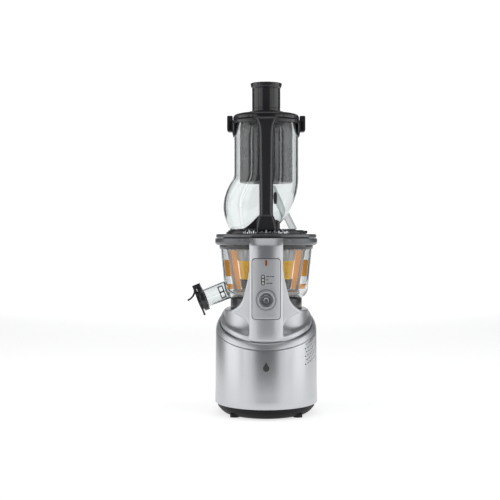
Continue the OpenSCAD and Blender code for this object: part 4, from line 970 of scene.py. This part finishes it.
def make_handle():
    front, back = low("handle_bar").y, low("handle_bar").y + 8

    def section(z, face, half, y_front, y_back):
        points = soften([(-half, y_back), (-half, mix(y_back, y_front, 0.35)), (-face, y_front), (face, y_front),
                         (half, mix(y_back, y_front, 0.35)), (half, y_back)], [0.8, 1.5, 2.2, 2.2, 1.5, 0.8], 4)
        return [(x, y, z) for x, y in points]
    rings = [section(260.5, 7.0, 9.6, front + 0.6, back), section(261.6, 6.2, 9.0, front, back)]
    rings += [section(z, mix(5.8, 6.8, t), mix(8.8, 9.9, t), front, back) for z, t in
              ((266, 0), (290, 0.2), (320, 0.45), (350, 0.8), (366, 1))]
    rings += [section(374, 7.3, 10.4, front, back), section(380, 8.5, 11.6, front + 0.3, back + 1),
              section(385, 10.6, 13.2, front + 1.2, back + 3), section(388.4, 12.6, 15.0, front + 2.6, back + 5),
              section(389.7, 13.2, 15.6, front + 4.0, back + 5)]
    bar = loft("handle_grip", rings)
    foot = [section(HOPPER_Z + rise, face, half, front + y0, back + y1) for rise, face, half, y0, y1 in
            ((-0.1, 12.2, 14.6, 1.2, 12), (6, 11.2, 13.6, 1.0, 10), (12, 9.8, 12.4, 0.8, 6),
             (16.6, 7.8, 10.4, 0.8, 3),
             (17.6, 7.2, 10.0, 1.4, 2))]
    foot_block = loft("handle_foot", foot)
    sweep = [(-9, HOPPER_Z + 19)]
    sweep += [(mix(-10.5, -34.5, t), HOPPER_Z + 0.4 + 18 * (1 - math.sin(t * math.pi / 2)) ** 0.9) for t in
              (0, 0.12, 0.25, 0.4, 0.55, 0.7, 0.85, 1)]
    sweep += [(-34.5, HOPPER_Z - 0.1), (-9, HOPPER_Z - 0.1)]
    fin = slab("fin", sweep, -41, -33.5, "y", 0.8, 2)
    bump = lathe("bump", soften([(0, HOPPER_Z - 0.1), (4.6, HOPPER_Z - 0.1), (4.2, HOPPER_Z + 11),
                                 (0, HOPPER_Z + 13.5)],
                                [0, 0.3, 2.6, 0], 4), 48, (13.6, -41))
    finish_piece(join("handle_moulding", [bar, foot_block, fin, bump]), "hopper", DARK_GLOSS, ["handle_bar"],
                 sharp=40)


def make_pushers():
    ring_r = SMALL_R + 0.15
    cover = [(ring_r, COVER_Z + 0.1), (COVER_R - 0.8, COVER_Z + 0.1), (COVER_R - 0.1, COVER_Z + 0.8),
             (COVER_R, COVER_Z + 3.2), (COVER_R - 0.5, COVER_Z + 3.6), (COVER_R - 0.1, COVER_Z + 4.3),
             (COVER_R - 0.5, COVER_Z + 5.8),
             (COVER_R - 2.0, COVER_Z + 7.2), (COVER_R - 6, COVER_Z + 8.3), (30, COVER_Z + 9.1), (25, COVER_Z + 9.2),
             (24.2, COVER_Z + 9.6), (23.8, COVER_Z + 11.2), (23.0, COVER_Z + 11.6), (ring_r + 0.6, COVER_Z + 11.6),
             (ring_r, COVER_Z + 11.2)]
    finish_piece(lathe("wide_cover", cover, 160), "wide_pusher", DARK_GLOSS, ["pusher_cover"], sharp=35)
    wall = 2.2
    wide = [(PUSHER_R, COVER_Z), (PUSHER_R, PUSHER_Z + 1.6), (PUSHER_R - 0.5, PUSHER_Z + 0.5),
            (PUSHER_R - 1.6, PUSHER_Z),
            (ring_r + 0.4, PUSHER_Z), (ring_r, PUSHER_Z + 0.5), (ring_r, COVER_Z), (ring_r + wall, COVER_Z),
            (ring_r + wall, PUSHER_Z + wall), (PUSHER_R - wall, PUSHER_Z + wall), (PUSHER_R - wall, COVER_Z)]
    finish_piece(lathe("wide_tube", wide, 160), "wide_pusher", DARK, ["large_pusher"], sharp=35)
    slim = [(0, SMALL_Z), (SMALL_R - 1.6, SMALL_Z), (SMALL_R - 0.4, SMALL_Z + 0.5), (SMALL_R, SMALL_Z + 1.6),
            (SMALL_R, CAP_Z - 28), (SMALL_R - 0.35, CAP_Z - 27.7), (SMALL_R - 0.35, CAP_Z - 27.1),
            (SMALL_R, CAP_Z - 26.8),
            (SMALL_R, CAP_Z - 0.5), (SMALL_R - 0.4, CAP_Z), (0, CAP_Z)]
    finish_piece(lathe("slim_tube", slim, 128), "slim_pusher", DARK_GLOSS, ["small_pusher"], sharp=35)
    cap = [(0, CAP_Z), (SMALL_R - 0.1, CAP_Z), (SMALL_R + 0.3, CAP_Z + 0.5), (CAP_R - 1.0, CAP_Z + 1.9),
           (CAP_R - 0.9, CAP_Z + 2.3), (CAP_R - 0.35, SMALL_TOP_Z - 1.6), (CAP_R, SMALL_TOP_Z - 0.7),
           (CAP_R - 0.5, SMALL_TOP_Z - 0.1),
           (CAP_R - 1.4, SMALL_TOP_Z), (CAP_R - 3.5, SMALL_TOP_Z - 0.9), (0, SMALL_TOP_Z - 1.2)]
    finish_piece(lathe("slim_cap", cap, 128), "slim_pusher", DARK_GLOSS, ["small_pusher_cap"], sharp=35)


make_lid()
make_hopper()
make_chute_collar()
make_handle()
make_pushers()


# ---------- Strainer ----------

SIEVE_LOW_Z, SIEVE_TOP_Z = 177.4, 202.4
CUP_LOW_Z = 163.4


def strainer_radius(z):
    return mix(33, 40, min(1, max(0, (z - CUP_LOW_Z) / (BOWL_TOP_Z - CUP_LOW_Z))))


def make_strainer():
    """A thin cone with rows of small square holes."""
    columns, rows = 84, 9
    z0, z1 = SIEVE_LOW_Z, SIEVE_TOP_Z
    verts, faces = [], []

    def point(u, v, out=0.0):
        z = mix(z0, z1, v / rows)
        r = strainer_radius(z) - 0.6 + out
        angle = TAU * u / columns
        return r * math.cos(angle), r * math.sin(angle), z
    index = {}

    def vertex(u, v):
        key = (round(u % columns, 3), round(v, 3))
        if key not in index:
            index[key] = len(verts)
            verts.append(point(key[0], key[1]))
        return index[key]
    hole = 0.23
    for u in range(columns):
        for v in range(rows):
            corners = [vertex(u, v), vertex(u + 1, v), vertex(u + 1, v + 1), vertex(u, v + 1)]
            if u % 6 == 0 or v in (0, rows - 1):
                faces.append(corners)
                continue
            inner = [vertex(u + hole, v + hole), vertex(u + 1 - hole, v + hole), vertex(u + 1 - hole, v + 1 - hole),
                     vertex(u + hole, v + 1 - hole)]
            for k in range(4):
                faces.append((corners[k], corners[(k + 1) % 4], inner[(k + 1) % 4], inner[k]))
    sieve = new_object("strainer_sieve", verts, faces)
    solid = sieve.modifiers.new("wall", "SOLIDIFY")
    solid.thickness = 0.7 * MM
    solid.offset = -1
    apply_modifiers(sieve)
    finish_piece(sieve, "bowl", GLOWING_GOLD, ["strainer_mesh"], sharp=40)


make_strainer()


def make_strainer_frame():
    """The strainer's pale band with its brim, and the dark cup under the sieve."""
    z0, z1 = SIEVE_TOP_Z - 0.2, BOWL_TOP_Z
    brim_r = high("strainer_frame").x
    band = [(strainer_radius(z0), z0), (strainer_radius(z0) + 0.4, z0 + 0.8), (strainer_radius(z1) + 0.4, z1 - 0.4),
            (strainer_radius(z1) + 1.2, z1), (brim_r - 0.4, z1), (brim_r, z1 + 0.4), (brim_r, z1 + 1.6),
            (brim_r - 0.4, z1 + 2), (strainer_radius(z1) - 1.4, z1 + 2), (strainer_radius(z1) - 2, z1 + 1.4),
            (strainer_radius(z0) - 2, z0)]
    finish_piece(lathe("strainer_band", band, 160), "bowl", PALE, ["strainer_frame"], sharp=35)
    z0, z1 = low("strainer_frame").z, SIEVE_LOW_Z + 0.2
    cup = [(9.2, z0), (strainer_radius(z0) - 1, z0), (strainer_radius(z0), z0 + 1),
           (strainer_radius(z1) + 0.3, z1 - 0.5),
           (strainer_radius(z1) - 0.1, z1), (strainer_radius(z1) - 2, z1), (strainer_radius(z0) - 2.2, z0 + 2),
           (9.2, z0 + 2)]
    finish_piece(lathe("strainer_cup", cup, 160), "bowl", SMOKED_DARK, sharp=35)


make_strainer_frame()


# ---------- Camera, light and stage ----------

CAMERA_BACK = 1.440
CAMERA_UP = 0.2325
FOCAL_MM = 77.04
scene = bpy.context.scene
camera_data = bpy.data.cameras.new("camera")
camera_data.lens = FOCAL_MM
camera_data.sensor_width = 36
camera_data.shift_x = -0.0324
camera_data.shift_y = -0.024
camera = bpy.data.objects.new("camera", camera_data)
camera.location = (0, -CAMERA_BACK, CAMERA_UP)
camera.rotation_euler = (math.pi / 2, 0, 0)
scene.collection.objects.link(camera)
scene.camera = camera


def stage_plane(name, corners, color, strength, glow=(1, 1, 1)):
    mesh = bpy.data.meshes.new(name)
    mesh.from_pydata([Vector(c) for c in corners], [], [tuple(range(len(corners)))])
    obj = bpy.data.objects.new(name, mesh)
    scene.collection.objects.link(obj)
    mat = bpy.data.materials.new(name)
    mat.use_nodes = True
    shader = mat.node_tree.nodes["Principled BSDF"]
    shader.inputs["Base Color"].default_value = (*color, 1)
    shader.inputs["Roughness"].default_value = 0.9
    shader.inputs["Emission Color"].default_value = (*glow, 1)
    shader.inputs["Emission Strength"].default_value = strength
    mesh.materials.append(mat)
    return obj


stage_plane("floor", [(-1.3, -0.62, 0), (1.3, -0.62, 0), (1.3, 2.2, 0), (-1.3, 2.2, 0)], (0.8, 0.8, 0.8), 0.66)
stage_plane("front_floor", [(-1.3, -2.2, 0), (1.3, -2.2, 0), (1.3, -0.62, 0), (-1.3, -0.62, 0)], (0.42, 0.42, 0.42),
            0)
stage_plane("backdrop", [(-1.0, 2.2, 0), (0.9, 2.2, 0), (0.9, 2.2, 1.4), (-1.0, 2.2, 1.4)], (0.1, 0.1, 0.1), 1.0)


def soft_light(name, place, aim, width, height, watts):
    data = bpy.data.lights.new(name, "AREA")
    data.shape = "RECTANGLE"
    data.size, data.size_y = width, height
    data.energy = watts
    obj = bpy.data.objects.new(name, data)
    obj.location = place
    obj.rotation_euler = (Vector(aim) - Vector(place)).to_track_quat("-Z", "Y").to_euler()
    scene.collection.objects.link(obj)
    return obj


# Name, place and aim height on the right, width, height and power. Each has a twin on the left.
SIDE_LIGHTS = (("box", (1.3, -0.05, 0.45), 0.25, 1.1, 1.3, 6.2), ("strip", (1.0, -0.75, 0.40), 0.25, 0.10, 1.1, 1.2),
               ("fill", (0.92, -1.18, 0.40), 0.22, 0.35, 1.2, 1.5))
for name, (x, y, z), aim_z, width, height, watts in SIDE_LIGHTS:
    for side, mirror in (("left", -1), ("right", 1)):
        soft_light(side + "_" + name, (x * mirror, y, z), (0, 0, aim_z), width, height, watts)
soft_light("top_box", (0, -0.2, 1.5), (0, 0, 0.2), 1.3, 1.0, 3.5)

world = bpy.data.worlds.new("studio")
world.use_nodes = True
world.node_tree.nodes["Background"].inputs["Color"].default_value = (0.90, 0.95, 1.0, 1)
world.node_tree.nodes["Background"].inputs["Strength"].default_value = 0.10
scene.world = world
scene.view_settings.view_transform = "Standard"
scene.view_settings.look = "None"
